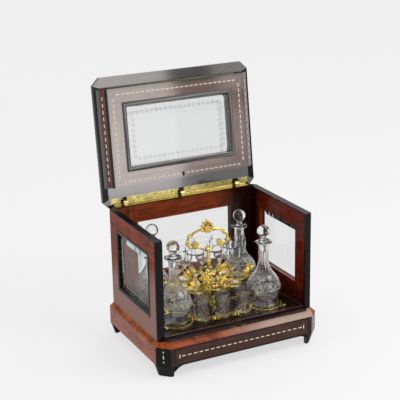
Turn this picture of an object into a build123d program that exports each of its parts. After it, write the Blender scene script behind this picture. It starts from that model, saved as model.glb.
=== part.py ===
from build123d import *
import os
from math import radians, sin, sqrt

# An antique tantalus: a glazed liqueur cabinet on a canted plinth. The lid is hinged at the
# back. A glazed front flap is hinged to the lid's front edge and folds flat under the open
# lid. A gilt stand with four decanters and sixteen glasses lifts out by its handle.
#
# Millimetres. X runs to the right, Y to the back and Z up. The origin is on the ground, at
# the centre of the plinth. The lid stands open and the flap is folded against it.

# --- Plinth -----------------------------------------------------------------------------
WIDTH = 330.0              # plinth, left to right
DEPTH = 250.0              # plinth, front to back
CANT = 20.0                # leg of the plinth's canted corners
FOOT_HEIGHT = 22.0
FOOT_TAPER = 7.0           # how far a foot leans in at the ground
FOOT_ALONG = 8.0           # straight part of a foot beside the canted corner
FOOT_DEPTH = 14.0          # foot, from the plinth's face inwards
EAR_LENGTH = 19.0          # curved ear of a foot under the front and back boards
EAR_HEIGHT = 10.0
EAR_SAG = 2.5              # hollow of the ear's curve
BOARD_HEIGHT = 34.5
BOARD_THICK = 12.0
BASE_BOARD_THICK = 6.0
BASE_BOARD_RISE = 2.0      # base board above the boards' lower edge
MOULDING_HEIGHT = 7.0
MOULDING_WIDTH = 13.0

# --- Walls ------------------------------------------------------------------------------
WALL_INSET = 7.0           # walls stand in from the plinth's faces
WALL_HEIGHT = 187.0
WALL_THICK = 13.5
LIPPING = 2.0              # ebonised strip along the top of the walls
FRONT_LIPPING = 6.0        # ebonised strip down the front end of a side wall
FRONT_LIPPING_ROUND = 4.0
CUT = 1.0                  # how far a cutting shape runs past the face it cuts
WINDOW_RISE = 42.5         # wall's foot to the window's sight line
TOP_RAIL = 35.5            # window's sight line to the wall's top
SIDE_WINDOW_IN = 60.0      # side window's ends, in from the plinth's faces
BACK_STILE = 42.1
WALL_BEAD = 6.0
WALL_REBATE = 8.0
BEAD_PROUD = 1.0

# --- Bevelled glass panes ---------------------------------------------------------------
PANE_THICK = 5.0
PANE_EDGE = 2.5            # thickness left at the edge, under the bead
BEVEL_WIDTH = 12.0
PANE_FIT = 0.4             # gap round a pane in its rebate

# --- Main hinge -------------------------------------------------------------------------
HINGE_BACK = 2.0           # axis behind the wall's rear face
HINGE_RISE = 0.2           # axis above the wall's top
BARREL_RADIUS = 1.9
PIN_RADIUS = 0.9
PIN_FIT = 0.05
BARREL_FIT = 0.4           # room round the barrel in the wood
HINGE_END_ROOM = 0.6       # case's leaf to the corner posts
LID_LEAF_END_ROOM = 15.0   # lid's leaf to the lid's ends
LEAF_THICK = 1.2
LID_LEAF_WIDTH = 20.0
CASE_LEAF_WIDTH = 14.5
KNUCKLES = 9
KNUCKLE_GAP = 0.2
LUG_IN = 21.5              # outer stop lugs, in from the hinge's ends
LUG_RADIUS = 10.0          # outside of a stop lug, from the hinge axis
LUG_THICK = 2.0
LUG_WIDTH = 8.0
LUG_PAST_TOP = 0.9         # a lug's tip goes this far beyond the axis
LUG_ROOM = 0.9             # room behind a lug's tip in the lid
NOTCH_WIDTH = 13.0
NOTCH_NEAR = 4.0           # notch in the lid's leaf, from the hinge axis
NOTCH_FAR = 14.5
POCKET_DEPTH = 11.0
SCREW_RADIUS = 2.0
SCREW_FIT = 0.05
SCREWS = 8
LID_SCREW_LINE = 17.0      # screws of the lid's leaf, from the hinge axis
CASE_SCREW_LINE = 8.5

# --- Lid --------------------------------------------------------------------------------
LID_SIDE_INSET = 2.5       # lid inside the plinth's sides
LID_FRONT_INSET = 3.0
LID_BEHIND = 7.0           # lid behind the hinge axis
LID_CANT = 14.0
LID_THICK = 14.0
LID_MOULDING = 12.0
LID_MOULDING_RISE = 9.0    # upright part of the lid's edge
LID_MOULDING_SLOPE = 5.0
LID_GAP = 0.2              # underside of the closed lid above the hinge axis
LID_STILE = 50.5           # window to the lid's edge, at the ends
LID_RAIL = 61.0            # and at the front and back
LID_BEAD = 8.0
LID_REBATE = 8.5
LID_OPEN = 97.0            # degrees from closed to the stop

# --- Front flap -------------------------------------------------------------------------
FLAP_GAP = 0.4             # flap to walls and plinth when closed
FLAP_STILE = 27.0
FLAP_BEAD = 8.5
FLAP_REBATE = 10.0
FLAP_BEAD_PROUD = 1.5
FLAP_AXIS_DROP = 1.4       # flap's hinge axis below the lid's underside
FLAP_BARREL_RADIUS = 1.2
FLAP_PIN_RADIUS = 0.6
FLAP_HINGE_IN = 10.1       # flap's hinge, in from the ends of the flap's rails
FLAP_LEAF_WIDTH = 12.0
FLAP_LEAF_THICK = 1.0
FLAP_KNUCKLES = 5

# --- Lock -------------------------------------------------------------------------------
LOCK_LENGTH = 34.0
LOCK_THICK = 8.0
LOCK_HEIGHT = 20.0
LOCK_SETBACK = 2.0         # lock case behind the flap's inner face
LOCK_PLATE = 1.2           # face plate of the lock at the flap's lower edge
BOLT_WIDTH = 12.0
BOLT_THICK = 3.0
BOLT_HEIGHT = 10.0
BOLT_FIT = 0.3
KEYHOLE_RISE = 8.5
KEYHOLE_RADIUS = 1.8
KEYHOLE_SLOT = 4.4         # length of the slot below the round
KEYHOLE_SLOT_WIDTH = 1.8
KEEP_LENGTH = 30.0
KEEP_WIDTH = 8.0
KEEP_THICK = 1.2
KEEP_POCKET = 5.5          # deeper than the bolt reaches when it is thrown

# --- Wooden tray ------------------------------------------------------------------------
TRAY_FIT = 1.5             # tray to the side walls, and to their front ends
TRAY_BACK_FIT = 3.0        # tray to the back wall
TRAY_THICK = 4.0
TRAY_LIP_WIDTH = 4.0
TRAY_LIP_HEIGHT = 5.5

# --- Gilt stand -------------------------------------------------------------------------
STAND_X = -4.0             # the stand is set down a little off centre
STAND_Y = 3.0
STAND_TURN = -2.5          # and a little turned, in degrees
STAND_TOP_ROOM = 15.0
RING_HEIGHT = 4.0
BAR_HEIGHT = 2.5
BAR_WIDTH = 4.0
HUB_RADIUS = 12.0
STAND_SIDE_ROOM = 13.8     # decanter rings to the tray's lip
STAND_END_ROOM = 12.2
DECANTER_X = 91.0
DECANTER_Y = 50.05
DECANTER_RING_FIT = 3.0    # ring to the decanter's base
DECANTER_RING_WIDTH = 2.7
TUMBLER_RING_FIT = 0.5
TUMBLER_RING_WIDTH = 1.9
TUMBLER_GAP = 1.5          # tumbler to the decanter beside it
TUMBLER_OUT = 12.0         # rows of tumblers stand outside the decanters' centres
TUMBLER_SIDE_OUT = 21.0
FINIAL_LUG = 3.0           # lug that carries a finial, beyond the ring
FINIAL_RADIUS = 2.4
FINIAL_NECK = 1.5
FINIAL_NECK_RADIUS = 0.75
COLUMN_RADIUS = 4.0
COLUMN_FOOT = 10.0
COLUMN_FOOT_THICK = 2.0
COLUMN_FOOT_CONE = 6.0
COLUMN_SWELL = 6.8         # radius of the turned ring halfway up
COLUMN_SWELL_HALF = 5.0
UPPER_TRAY_RISE = 45.0     # above the wooden tray
UPPER_TRAY_THICK = 3.0
UPPER_LOBE = 2.6           # tray round a glass's foot
UPPER_END_X = 72.0
UPPER_END_RADIUS = 14.0
DIP = 1.0                  # recess that a stemmed glass stands in
DIP_FIT = 0.4
GLASS_GAP = 4.0            # between glasses in a row
GLASS_SIDE_GAP = 3.0       # between a row's end and the glass at the side
GLASS_ROSETTE_GAP = 0.5
COLUMN_BLOCK = 12.0
COLUMN_BLOCK_HEIGHT = 28.0
COLUMN_RISE = 59.5         # above the upper tray
COLUMN_KNOB_RISE = 40.0    # knob above the upper tray
COLUMN_KNOB_RADIUS = 6.5
COLUMN_KNOB_HALF = 2.0
COLUMN_KNOB_CONE = 4.0
ROSETTE_RADIUS = 13.0
ROSETTE_THICK = 3.5
SCROLL_THICK = 4.0
SCROLL_BAR = 3.2
SCROLL_FLAT = 1.0          # flat that a scroll stands on
INNER_SCROLL_X = 33.0
INNER_SCROLL_RADIUS = 11.0
END_SCROLL_X = 81.0
END_SCROLL_RADIUS = 8.0
EDGE_SCROLL_X = 18.5
EDGE_SCROLL_Y = 40.0
EDGE_SCROLL_RADIUS = 6.0

# --- Carrying handle --------------------------------------------------------------------
HANDLE_TURN = -6.0         # degrees, on top of the stand's own turn
HANDLE_BAR = 2.2           # radius of the bar
HANDLE_RISE = 105.0        # above the upper tray
HANDLE_GAP = 3.8           # handle to the glasses at the sides
HANDLE_TIP = 3.3           # radius of the knob at the end of a curl
HANDLE_CAP = 5.5           # height of the cap on the stem
CROWN_TURN = 30.0          # degrees that the bar bends over the top
SHOULDER_RADIUS = 19.0
SHOULDER_TURN = 75.0
CURL_RADIUS = 8.0
CURL_TURN = 150.0
CREST_WIDTH = 22.0
CREST_HEIGHT = 22.0
CREST_THICK = 6.0

# --- Decanters and stoppers -------------------------------------------------------------
DECANTER_BASE = 28.5
DECANTER_BODY = 32.5       # widest radius
DECANTER_BODY_RISE = 33.0
DECANTER_SHOULDER = (23.0, 62.0)       # radius, height above the base
DECANTER_WAIST = (13.2, 79.0)          # radius, height, where the body runs into the neck
DECANTER_NECK = 9.6
DECANTER_NECK_RISE = 100.0
DECANTER_FLARE_RISE = 114.0
DECANTER_FLARE = (11.6, 120.8)
DECANTER_LIP = 16.5
DECANTER_HEIGHT = 126.0
DECANTER_LIP_THICK = 2.0
DECANTER_WALL = 2.6
DECANTER_FLOOR = 7.0
PLUG_RADIUS = 6.2
PLUG_FIT = 0.3
PLUG_LENGTH = 20.0
STOPPER_COLLAR = 8.5
STOPPER_COLLAR_THICK = 3.0
STOPPER_STALK = 5.0
STOPPER_BALL = 12.0
STOPPER_BALL_RISE = 19.0   # ball's centre above the lip

# --- Tumblers and stemmed glasses -------------------------------------------------------
TUMBLER_BASE = 12.2
TUMBLER_RIM = 16.0
TUMBLER_HEIGHT = 46.0
TUMBLER_WALL = 1.7
TUMBLER_FLOOR = 9.0
GLASS_FOOT = 16.0
GLASS_FOOT_THICK = 1.6
GLASS_FOOT_CONE = (3.9, 4.0)           # radius, height, where the foot runs into the stem
GLASS_STEM = 2.6
GLASS_STEM_LOW = 8.0
GLASS_STEM_TAPER = 3.0     # stem swells into the bowl over this height
GLASS_BOWL_RISE = 30.0     # underside of the bowl above the table
GLASS_BOWL_BASE = 6.5
GLASS_BOWL_SIDE = 14.9     # radius where the bowl's side stands up
GLASS_BOWL_SIDE_RISE = 16.0
GLASS_RIM = 16.5
GLASS_HEIGHT = 75.0
GLASS_WALL = 1.6
GLASS_SIDE_WALL = 1.9      # wall low in the bowl
GLASS_BOWL_FLOOR = 5.0

# --- Places worked out from the sizes above ---------------------------------------------
HALF_WIDTH = WIDTH / 2
HALF_DEPTH = DEPTH / 2
BOARD_TOP = FOOT_HEIGHT + BOARD_HEIGHT
FLOOR_TOP = BOARD_TOP + MOULDING_HEIGHT
WALL_TOP = FLOOR_TOP + WALL_HEIGHT
WALL_X = HALF_WIDTH - WALL_INSET
WALL_BACK = HALF_DEPTH - WALL_INSET
WALL_FRONT = -WALL_BACK
INSET_LOSS = 2 - sqrt(2)                     # a cant's leg shrinks by this times the inset
WALL_CANT = CANT - WALL_INSET * INSET_LOSS
HINGE_LENGTH = (WALL_X - WALL_CANT - HINGE_END_ROOM) * 2
LUG_SPACING = HINGE_LENGTH / 2 - LUG_IN
WINDOW_HEIGHT = WALL_HEIGHT - WINDOW_RISE - TOP_RAIL
SIDE_WINDOW_LENGTH = DEPTH - SIDE_WINDOW_IN * 2
BACK_WINDOW_LENGTH = (WALL_X - WALL_CANT - BACK_STILE) * 2
HINGE_Y = WALL_BACK + HINGE_BACK
HINGE_Z = WALL_TOP + HINGE_RISE
HINGE_AXIS = Axis((0, HINGE_Y, HINGE_Z), (1, 0, 0))
LID_BOTTOM = HINGE_Z + LID_GAP
LID_WIDTH = (HALF_WIDTH - LID_SIDE_INSET) * 2
LID_LEAF_LENGTH = LID_WIDTH - LID_LEAF_END_ROOM * 2
LID_BACK_Y = HINGE_Y + LID_BEHIND
LID_FRONT_Y = -HALF_DEPTH + LID_FRONT_INSET
LID_MIDDLE_Y = (LID_BACK_Y + LID_FRONT_Y) / 2
LID_WINDOW_LENGTH = LID_WIDTH - LID_STILE * 2
LID_WINDOW_WIDTH = LID_BACK_Y - LID_FRONT_Y - LID_RAIL * 2
FLAP_DEPTH = WALL_CANT + FLAP_GAP * 2        # the canted posts set the flap's depth
FLAP_INNER_Y = WALL_FRONT + FLAP_DEPTH
SIDE_FRONT_Y = FLAP_INNER_Y + FLAP_GAP
FLAP_AXIS_Z = LID_BOTTOM - FLAP_AXIS_DROP
FLAP_AXIS = Axis((0, FLAP_INNER_Y, FLAP_AXIS_Z), (1, 0, 0))
FLAP_BOTTOM = FLOOR_TOP + FLAP_GAP
FLAP_HALF = WALL_X - WALL_CANT
FLAP_HINGE_LENGTH = (FLAP_HALF - FLAP_HINGE_IN) * 2
LOCK_Y = (FLAP_INNER_Y - LOCK_SETBACK - LOCK_THICK, FLAP_INNER_Y - LOCK_SETBACK)
BOLT_Y = sum(LOCK_Y) / 2
TRAY_TOP = FLOOR_TOP + TRAY_THICK
TRAY_HALF = WALL_X - WALL_THICK - TRAY_FIT
TRAY_FRONT = SIDE_FRONT_Y + TRAY_FIT
TRAY_BACK = WALL_BACK - WALL_THICK - TRAY_BACK_FIT
STAND = Pos(STAND_X, STAND_Y, 0) * Rot(0, 0, STAND_TURN)
DECANTER_RING = DECANTER_BASE + DECANTER_RING_FIT
RING_OUTSIDE = DECANTER_RING + DECANTER_RING_WIDTH
TUMBLER_RING = TUMBLER_BASE + TUMBLER_RING_FIT
STAND_HEIGHT = UPPER_TRAY_RISE + HANDLE_RISE - HANDLE_BAR * 2 + CREST_HEIGHT
# The stand is drawn at its usual size and shrinks where a smaller case leaves it less room.
STAND_FIT = min(
    (TRAY_HALF - TRAY_LIP_WIDTH - STAND_SIDE_ROOM) / (DECANTER_X + RING_OUTSIDE),
    ((TRAY_BACK - TRAY_FRONT) / 2 - TRAY_LIP_WIDTH - STAND_END_ROOM) / (DECANTER_Y + RING_OUTSIDE),
    (WALL_TOP - TRAY_TOP - STAND_TOP_ROOM) / STAND_HEIGHT,
)
TUMBLER_X = DECANTER_X - DECANTER_BODY - TUMBLER_RIM - TUMBLER_GAP
TUMBLER_Y = DECANTER_Y + TUMBLER_OUT
TUMBLER_SIDE_X = DECANTER_X + TUMBLER_SIDE_OUT
GLASS_X = GLASS_RIM * 2 + GLASS_GAP
GLASS_Y = COLUMN_BLOCK / 2 + ROSETTE_THICK + GLASS_ROSETTE_GAP + GLASS_FOOT
GLASS_SIDE_X = GLASS_X + sqrt((GLASS_RIM * 2 + GLASS_SIDE_GAP) ** 2 - GLASS_Y ** 2)
HANDLE_REACH = GLASS_SIDE_X - GLASS_RIM - HANDLE_GAP - HANDLE_BAR      # to the bar's middle
CROWN_SINE = sin(radians(CROWN_TURN))
CROWN_RADIUS = (HANDLE_REACH - SHOULDER_RADIUS * (1 - CROWN_SINE)) / CROWN_SINE
UPPER_TRAY_TOP = TRAY_TOP + UPPER_TRAY_RISE
COLUMN_TOP = UPPER_TRAY_TOP + COLUMN_RISE
HANDLE_TOP = UPPER_TRAY_TOP + HANDLE_RISE
GLASS_SEAT = UPPER_TRAY_TOP - DIP
DECANTER_SPOTS = {
    "front_left": (-DECANTER_X, -DECANTER_Y),
    "front_right": (DECANTER_X, -DECANTER_Y),
    "back_left": (-DECANTER_X, DECANTER_Y),
    "back_right": (DECANTER_X, DECANTER_Y),
}


def two_rows_and_sides(across, along, side):
    """Three places in front, three behind and one at each side."""
    rows = [(x, y) for y in (-along, along) for x in (-across, 0.0, across)]
    return rows + [(-side, 0.0), (side, 0.0)]


TUMBLER_SPOTS = two_rows_and_sides(TUMBLER_X, TUMBLER_Y, TUMBLER_SIDE_X)
GLASS_SPOTS = two_rows_and_sides(GLASS_X, GLASS_Y, GLASS_SIDE_X)


# --- Shared shapes ----------------------------------------------------------------------
def block(x_range, y_range, z_range):
    """A box between two corners."""
    sizes = [high - low for low, high in (x_range, y_range, z_range)]
    middle = [(high + low) / 2 for low, high in (x_range, y_range, z_range)]
    return Pos(*middle) * Box(*sizes)


def rod(radius, start, length, direction):
    """A round bar from a start point, along a direction."""
    return extrude(Plane(origin=start, z_dir=direction) * Circle(radius), length)


def prism(points, z_low, z_high):
    """A polygon in plan, between two heights."""
    return Pos(0, 0, z_low) * extrude(make_face(Polyline(*points, close=True)), z_high - z_low)


def canted_outline(half_x, y_low, y_high, leg):
    """The eight corners of a rectangle with canted corners."""
    return [
        (-half_x, y_low + leg), (-half_x + leg, y_low), (half_x - leg, y_low), (half_x, y_low + leg),
        (half_x, y_high - leg), (half_x - leg, y_high), (-half_x + leg, y_high), (-half_x, y_high - leg),
    ]


def inset_outline(half_x, y_low, y_high, leg, inset):
    """The same rectangle, moved in by an inset on every side."""
    return canted_outline(half_x - inset, y_low + inset, y_high - inset, leg - inset * INSET_LOSS)


def oblong(x_range, y_range):
    """The four corners of a rectangle."""
    return [(x_range[0], y_range[0]), (x_range[1], y_range[0]),
            (x_range[1], y_range[1]), (x_range[0], y_range[1])]


def mitred_ring(sections):
    """Mitred lengths round a frame. A section is a height, an outer and an inner outline."""
    lengths = []
    corners = len(sections[0][1])
    for here in range(corners):
        after = (here + 1) % corners
        faces = []
        for height, outer, inner in sections:
            corner_points = [outer[here], outer[after], inner[after], inner[here]]
            face = make_face(Polyline(*corner_points, close=True))
            faces.append(Pos(0, 0, height) * face)
        lengths.append(loft(faces, ruled=True))
    return lengths


def corner_block(outer_x, outer_y, leg, thick, z_low, z_high):
    """A canted corner post for the corner at +X +Y, between two walls' ends."""
    points = [(outer_x, outer_y - leg), (outer_x - leg, outer_y),
              (outer_x - leg, outer_y - thick), (outer_x - thick, outer_y - leg)]
    return prism(points, z_low, z_high)


def mirrored(shapes, plane):
    return [mirror(shape, about=plane) for shape in shapes]


def both_sides(shapes):
    """Shapes on the right, and the same on the left."""
    return shapes + mirrored(shapes, Plane.YZ)


def grown(value_range, amount):
    return (value_range[0] - amount, value_range[1] + amount)


def framed_window(frame_x, frame_y, sight_x, sight_y, thick, rebate, bead, proud):
    """Stiles and rails with a rebate, a bevelled pane and the bead that holds it.

    The outer face lies at z = 0 and looks up; the frame is thick below it.
    """
    depth = (-thick, 0)
    cutter = block(grown(sight_x, bead), grown(sight_y, bead), (-rebate, CUT))
    members = [
        block((frame_x[0], sight_x[0]), frame_y, depth),
        block((sight_x[1], frame_x[1]), frame_y, depth),
        block(sight_x, (frame_y[0], sight_y[0]), depth),
        block(sight_x, (sight_y[1], frame_y[1]), depth),
    ]
    frame = [member - cutter for member in members]
    pane_x, pane_y = grown(sight_x, bead - PANE_FIT), grown(sight_y, bead - PANE_FIT)
    shelf = -rebate + PANE_EDGE
    plate = block(pane_x, pane_y, (-rebate, shelf))
    lower = make_face(Polyline(*oblong(grown(sight_x, -PANE_FIT), grown(sight_y, -PANE_FIT)), close=True))
    raised = oblong(grown(sight_x, -BEVEL_WIDTH), grown(sight_y, -BEVEL_WIDTH))
    upper = make_face(Polyline(*raised, close=True))
    table = loft([Pos(0, 0, shelf) * lower, Pos(0, 0, -rebate + PANE_THICK) * upper], ruled=True)
    pane = plate + table
    outer = oblong(grown(sight_x, bead), grown(sight_y, bead))
    inner_low = oblong(sight_x, sight_y)
    inner_high = oblong(grown(sight_x, bead / 2), grown(sight_y, bead / 2))
    beads = mitred_ring([(shelf, outer, inner_low), (0.0, outer, inner_low), (proud, outer, inner_high)])
    return frame, pane, beads


def placed(shapes, plane):
    return [plane.location * shape for shape in shapes]


def opened(shapes):
    """Lid pieces, from the closed place to the open one."""
    return [shape.rotate(HINGE_AXIS, -LID_OPEN) for shape in shapes]


def folded(shapes):
    """Flap pieces, from upright and closed to folded under the open lid."""
    return opened([shape.rotate(FLAP_AXIS, 90) for shape in shapes])


# --- Plinth -----------------------------------------------------------------------------
def plinth_boards():
    rise = (FOOT_HEIGHT, BOARD_TOP)
    straight_x = HALF_WIDTH - CANT
    straight_y = HALF_DEPTH - CANT
    front = block((-straight_x, straight_x), (-HALF_DEPTH, -HALF_DEPTH + BOARD_THICK), rise)
    side = block((HALF_WIDTH - BOARD_THICK, HALF_WIDTH), (-straight_y, straight_y), rise)
    within = inset_outline(HALF_WIDTH, -HALF_DEPTH, HALF_DEPTH, CANT, BOARD_THICK)
    base_low = FOOT_HEIGHT + BASE_BOARD_RISE
    base = prism(within, base_low, base_low + BASE_BOARD_THICK)
    return [front] + mirrored([front], Plane.XZ) + both_sides([side]) + [base]


def plinth_corner_blocks():
    corner = corner_block(HALF_WIDTH, HALF_DEPTH, CANT, BOARD_THICK, FOOT_HEIGHT, BOARD_TOP)
    pair = both_sides([corner])
    return pair + mirrored(pair, Plane.XZ)


def bracket_foot():
    """The foot at +X +Y: a canted block that leans in, with a curved ear along the back."""
    ear_x = HALF_WIDTH - CANT - FOOT_ALONG
    side_y = HALF_DEPTH - CANT - FOOT_ALONG
    inside = [(ear_x, HALF_DEPTH - FOOT_DEPTH), (HALF_WIDTH - FOOT_DEPTH, side_y)]
    high = [(HALF_WIDTH, side_y), (HALF_WIDTH, HALF_DEPTH - CANT), (HALF_WIDTH - CANT, HALF_DEPTH),
            (ear_x, HALF_DEPTH)]
    leant_x, leant_y = HALF_WIDTH - FOOT_TAPER, HALF_DEPTH - FOOT_TAPER
    leant_leg = CANT - FOOT_TAPER * INSET_LOSS
    low = [(leant_x, side_y), (leant_x, leant_y - leant_leg), (leant_x - leant_leg, leant_y),
           (ear_x, leant_y)]
    top = Pos(0, 0, FOOT_HEIGHT) * make_face(Polyline(*high, *inside, close=True))
    foot = loft([make_face(Polyline(*low, *inside, close=True)), top], ruled=True)
    ear_low = (ear_x, FOOT_HEIGHT - EAR_HEIGHT)
    ear_end = (ear_x - EAR_LENGTH, FOOT_HEIGHT)
    outline = [
        Line(ear_low, (ear_x, FOOT_HEIGHT)),
        Line((ear_x, FOOT_HEIGHT), ear_end),
        SagittaArc(ear_end, ear_low, EAR_SAG),
    ]
    back_plane = Plane(origin=(0, HALF_DEPTH - FOOT_TAPER, 0), x_dir=(1, 0, 0), z_dir=(0, -1, 0))
    ear = extrude(back_plane * make_face(outline), FOOT_TAPER - FOOT_DEPTH)
    return foot + ear


def bracket_feet():
    pair = both_sides([bracket_foot()])
    return pair + mirrored(pair, Plane.XZ)


def plinth_moulding():
    outline = (HALF_WIDTH, -HALF_DEPTH, HALF_DEPTH, CANT)
    low = canted_outline(*outline)
    high = inset_outline(*outline, WALL_INSET)
    inner = inset_outline(*outline, MOULDING_WIDTH)
    return mitred_ring([(BOARD_TOP, low, inner), (FLOOR_TOP, high, inner)])


def floor_board():
    inner = inset_outline(HALF_WIDTH, -HALF_DEPTH, HALF_DEPTH, CANT, MOULDING_WIDTH)
    board = prism(inner, BOARD_TOP, FLOOR_TOP)
    half_keep = KEEP_LENGTH / 2
    recess = block((-half_keep, half_keep), keep_range(), (FLOOR_TOP - KEEP_THICK, FLOOR_TOP))
    mortise = block(grown((-BOLT_WIDTH / 2, BOLT_WIDTH / 2), BOLT_FIT * 2), bolt_range(BOLT_FIT * 2),
                    (FLOOR_TOP - KEEP_POCKET, FLOOR_TOP))
    return [board - recess - mortise]


# --- Walls ------------------------------------------------------------------------------
def window_range():
    low = FLOOR_TOP + WINDOW_RISE
    return (low, low + WINDOW_HEIGHT)


def right_wall():
    """Frame, pane and bead of the right wall, which looks along +X."""
    frame_y = (SIDE_FRONT_Y + FRONT_LIPPING, WALL_BACK - WALL_CANT)
    half = SIDE_WINDOW_LENGTH / 2
    pieces = framed_window(frame_y, (FLOOR_TOP, WALL_TOP - LIPPING), (-half, half), window_range(),
                           WALL_THICK, WALL_REBATE, WALL_BEAD, BEAD_PROUD)
    plane = Plane(origin=(WALL_X, 0, 0), x_dir=(0, 1, 0), z_dir=(1, 0, 0))
    frame, pane, beads = pieces
    return placed(frame, plane), placed([pane], plane), placed(beads, plane)


def back_wall():
    """Frame, pane and bead of the back wall, which looks along +Y."""
    frame_half = WALL_X - WALL_CANT
    half = BACK_WINDOW_LENGTH / 2
    pieces = framed_window((-frame_half, frame_half), (FLOOR_TOP, WALL_TOP - LIPPING), (-half, half),
                           window_range(), WALL_THICK, WALL_REBATE, WALL_BEAD, BEAD_PROUD)
    plane = Plane(origin=(0, WALL_BACK, 0), x_dir=(-1, 0, 0), z_dir=(0, 1, 0))
    frame, pane, beads = pieces
    return placed(frame, plane), placed([pane], plane), placed(beads, plane)


def wall_corner_posts():
    return both_sides([corner_block(WALL_X, WALL_BACK, WALL_CANT, WALL_THICK, FLOOR_TOP, WALL_TOP - LIPPING)])


def rounded_end(strip):
    """Round the outer front corner of a right-hand wall's strip."""
    arris = strip.edges().filter_by(Axis.Z).group_by(Axis.Y)[0].sort_by(Axis.X)[-1]
    return fillet(arris, FRONT_LIPPING_ROUND)


def wall_lippings():
    wall = (WALL_X - WALL_THICK, WALL_X)
    strip = (WALL_TOP - LIPPING, WALL_TOP)
    front = block(wall, (SIDE_FRONT_Y, SIDE_FRONT_Y + FRONT_LIPPING), (FLOOR_TOP, WALL_TOP - LIPPING))
    side_top = block(wall, (SIDE_FRONT_Y, WALL_BACK - WALL_CANT), strip)
    corner_top = corner_block(WALL_X, WALL_BACK, WALL_CANT, WALL_THICK, *strip)
    half = WALL_X - WALL_CANT
    back_top = block((-half, half), (WALL_BACK - WALL_THICK, WALL_BACK), strip) - case_leaf_plate()
    return both_sides([rounded_end(front), rounded_end(side_top), corner_top]) + [back_top]


# --- Main hinge -------------------------------------------------------------------------
def knuckle_ranges(length, count, first):
    """Every other knuckle of a barrel, as ranges along X."""
    pitch = length / count
    starts = [-length / 2 + pitch * index for index in range(first, count, 2)]
    return [(start + KNUCKLE_GAP / 2, start + pitch - KNUCKLE_GAP / 2) for start in starts]


def knuckles(ranges, y, z, radius, hole, web_y, web_z):
    """Tubes on a hinge axis, each with the web that joins it to its leaf."""
    tubes = []
    for low, high in ranges:
        tube = rod(radius, (low, y, z), high - low, (1, 0, 0)) + block((low, high), web_y, web_z)
        tubes.append(tube - rod(hole, (low - CUT, y, z), high - low + CUT * 2, (1, 0, 0)))
    return tubes


def lug_places():
    return [-LUG_SPACING, 0.0, LUG_SPACING]


def screw_places(length):
    """Screws along a leaf, set between the stop lugs."""
    pitch = length / SCREWS
    return [-length / 2 + pitch * (index + 0.5) for index in range(SCREWS)]


def screw_hole(x, y, z):
    """A hole through a leaf whose underside is at z."""
    return rod(SCREW_RADIUS + SCREW_FIT, (x, y, z - CUT), LEAF_THICK + CUT * 2, (0, 0, 1))


def case_leaf_plate():
    low = HINGE_Y - CASE_LEAF_WIDTH
    return block((-HINGE_LENGTH / 2, HINGE_LENGTH / 2), (low, WALL_BACK), (WALL_TOP - LEAF_THICK, WALL_TOP))


def stop_lug(x):
    """A quarter hoop round the hinge axis, which passes through the lid's leaf."""
    low = (x - LUG_WIDTH / 2, HINGE_Y, HINGE_Z)
    hoop = rod(LUG_RADIUS, low, LUG_WIDTH, (1, 0, 0)) - rod(LUG_RADIUS - LUG_THICK, low, LUG_WIDTH, (1, 0, 0))
    keep = block((x - LUG_WIDTH, x + LUG_WIDTH), (HINGE_Y - LUG_RADIUS - CUT, HINGE_Y + LUG_PAST_TOP),
                 (WALL_TOP - LEAF_THICK / 2, HINGE_Z + LUG_RADIUS + CUT))
    return hoop & keep


def case_hinge_leaf():
    """The case's leaf, its knuckles and the three stop lugs, in one piece."""
    leaf = case_leaf_plate()
    web_z = (WALL_TOP - LEAF_THICK, WALL_TOP)
    for tube in knuckles(knuckle_ranges(HINGE_LENGTH, KNUCKLES, 0), HINGE_Y, HINGE_Z, BARREL_RADIUS,
                         PIN_RADIUS + PIN_FIT, (WALL_BACK - CUT, HINGE_Y), web_z):
        leaf = leaf + tube
    for x in lug_places():
        leaf = leaf + stop_lug(x)
    for x in screw_places(HINGE_LENGTH):
        leaf = leaf - screw_hole(x, HINGE_Y - CASE_SCREW_LINE, WALL_TOP - LEAF_THICK)
    return [leaf]


def case_hinge_screws():
    start = WALL_TOP - LEAF_THICK
    return [rod(SCREW_RADIUS, (x, HINGE_Y - CASE_SCREW_LINE, start), LEAF_THICK, (0, 0, 1))
            for x in screw_places(HINGE_LENGTH)]


def hinge_pin():
    return [rod(PIN_RADIUS, (-HINGE_LENGTH / 2, HINGE_Y, HINGE_Z), HINGE_LENGTH, (1, 0, 0))]


def lid_leaf_plate(near):
    """The lid's leaf, from a distance in front of the axis."""
    half = LID_LEAF_LENGTH / 2
    return block((-half, half), (HINGE_Y - LID_LEAF_WIDTH, HINGE_Y - near),
                 (LID_BOTTOM, LID_BOTTOM + LEAF_THICK))


def lid_hinge_leaf():
    near = HINGE_BACK + BARREL_FIT
    leaf = lid_leaf_plate(near)
    web_y = (HINGE_Y - near - CUT, HINGE_Y)
    for tube in knuckles(knuckle_ranges(HINGE_LENGTH, KNUCKLES, 1), HINGE_Y, HINGE_Z, BARREL_RADIUS,
                         PIN_RADIUS + PIN_FIT, web_y, (LID_BOTTOM, LID_BOTTOM + LEAF_THICK)):
        leaf = leaf + tube
    for x in lug_places():
        half = NOTCH_WIDTH / 2
        leaf = leaf - block((x - half, x + half), (HINGE_Y - NOTCH_FAR, HINGE_Y - NOTCH_NEAR),
                            (LID_BOTTOM - CUT, LID_BOTTOM + LEAF_THICK + CUT))
    for x in screw_places(LID_LEAF_LENGTH):
        leaf = leaf - screw_hole(x, HINGE_Y - LID_SCREW_LINE, LID_BOTTOM)
    return opened([leaf])


def lid_hinge_screws():
    return opened([rod(SCREW_RADIUS, (x, HINGE_Y - LID_SCREW_LINE, LID_BOTTOM), LEAF_THICK, (0, 0, 1))
                   for x in screw_places(LID_LEAF_LENGTH)])


# --- Lid --------------------------------------------------------------------------------
def lid_outline():
    return (LID_WIDTH / 2, LID_FRONT_Y, LID_BACK_Y, LID_CANT)


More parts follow.
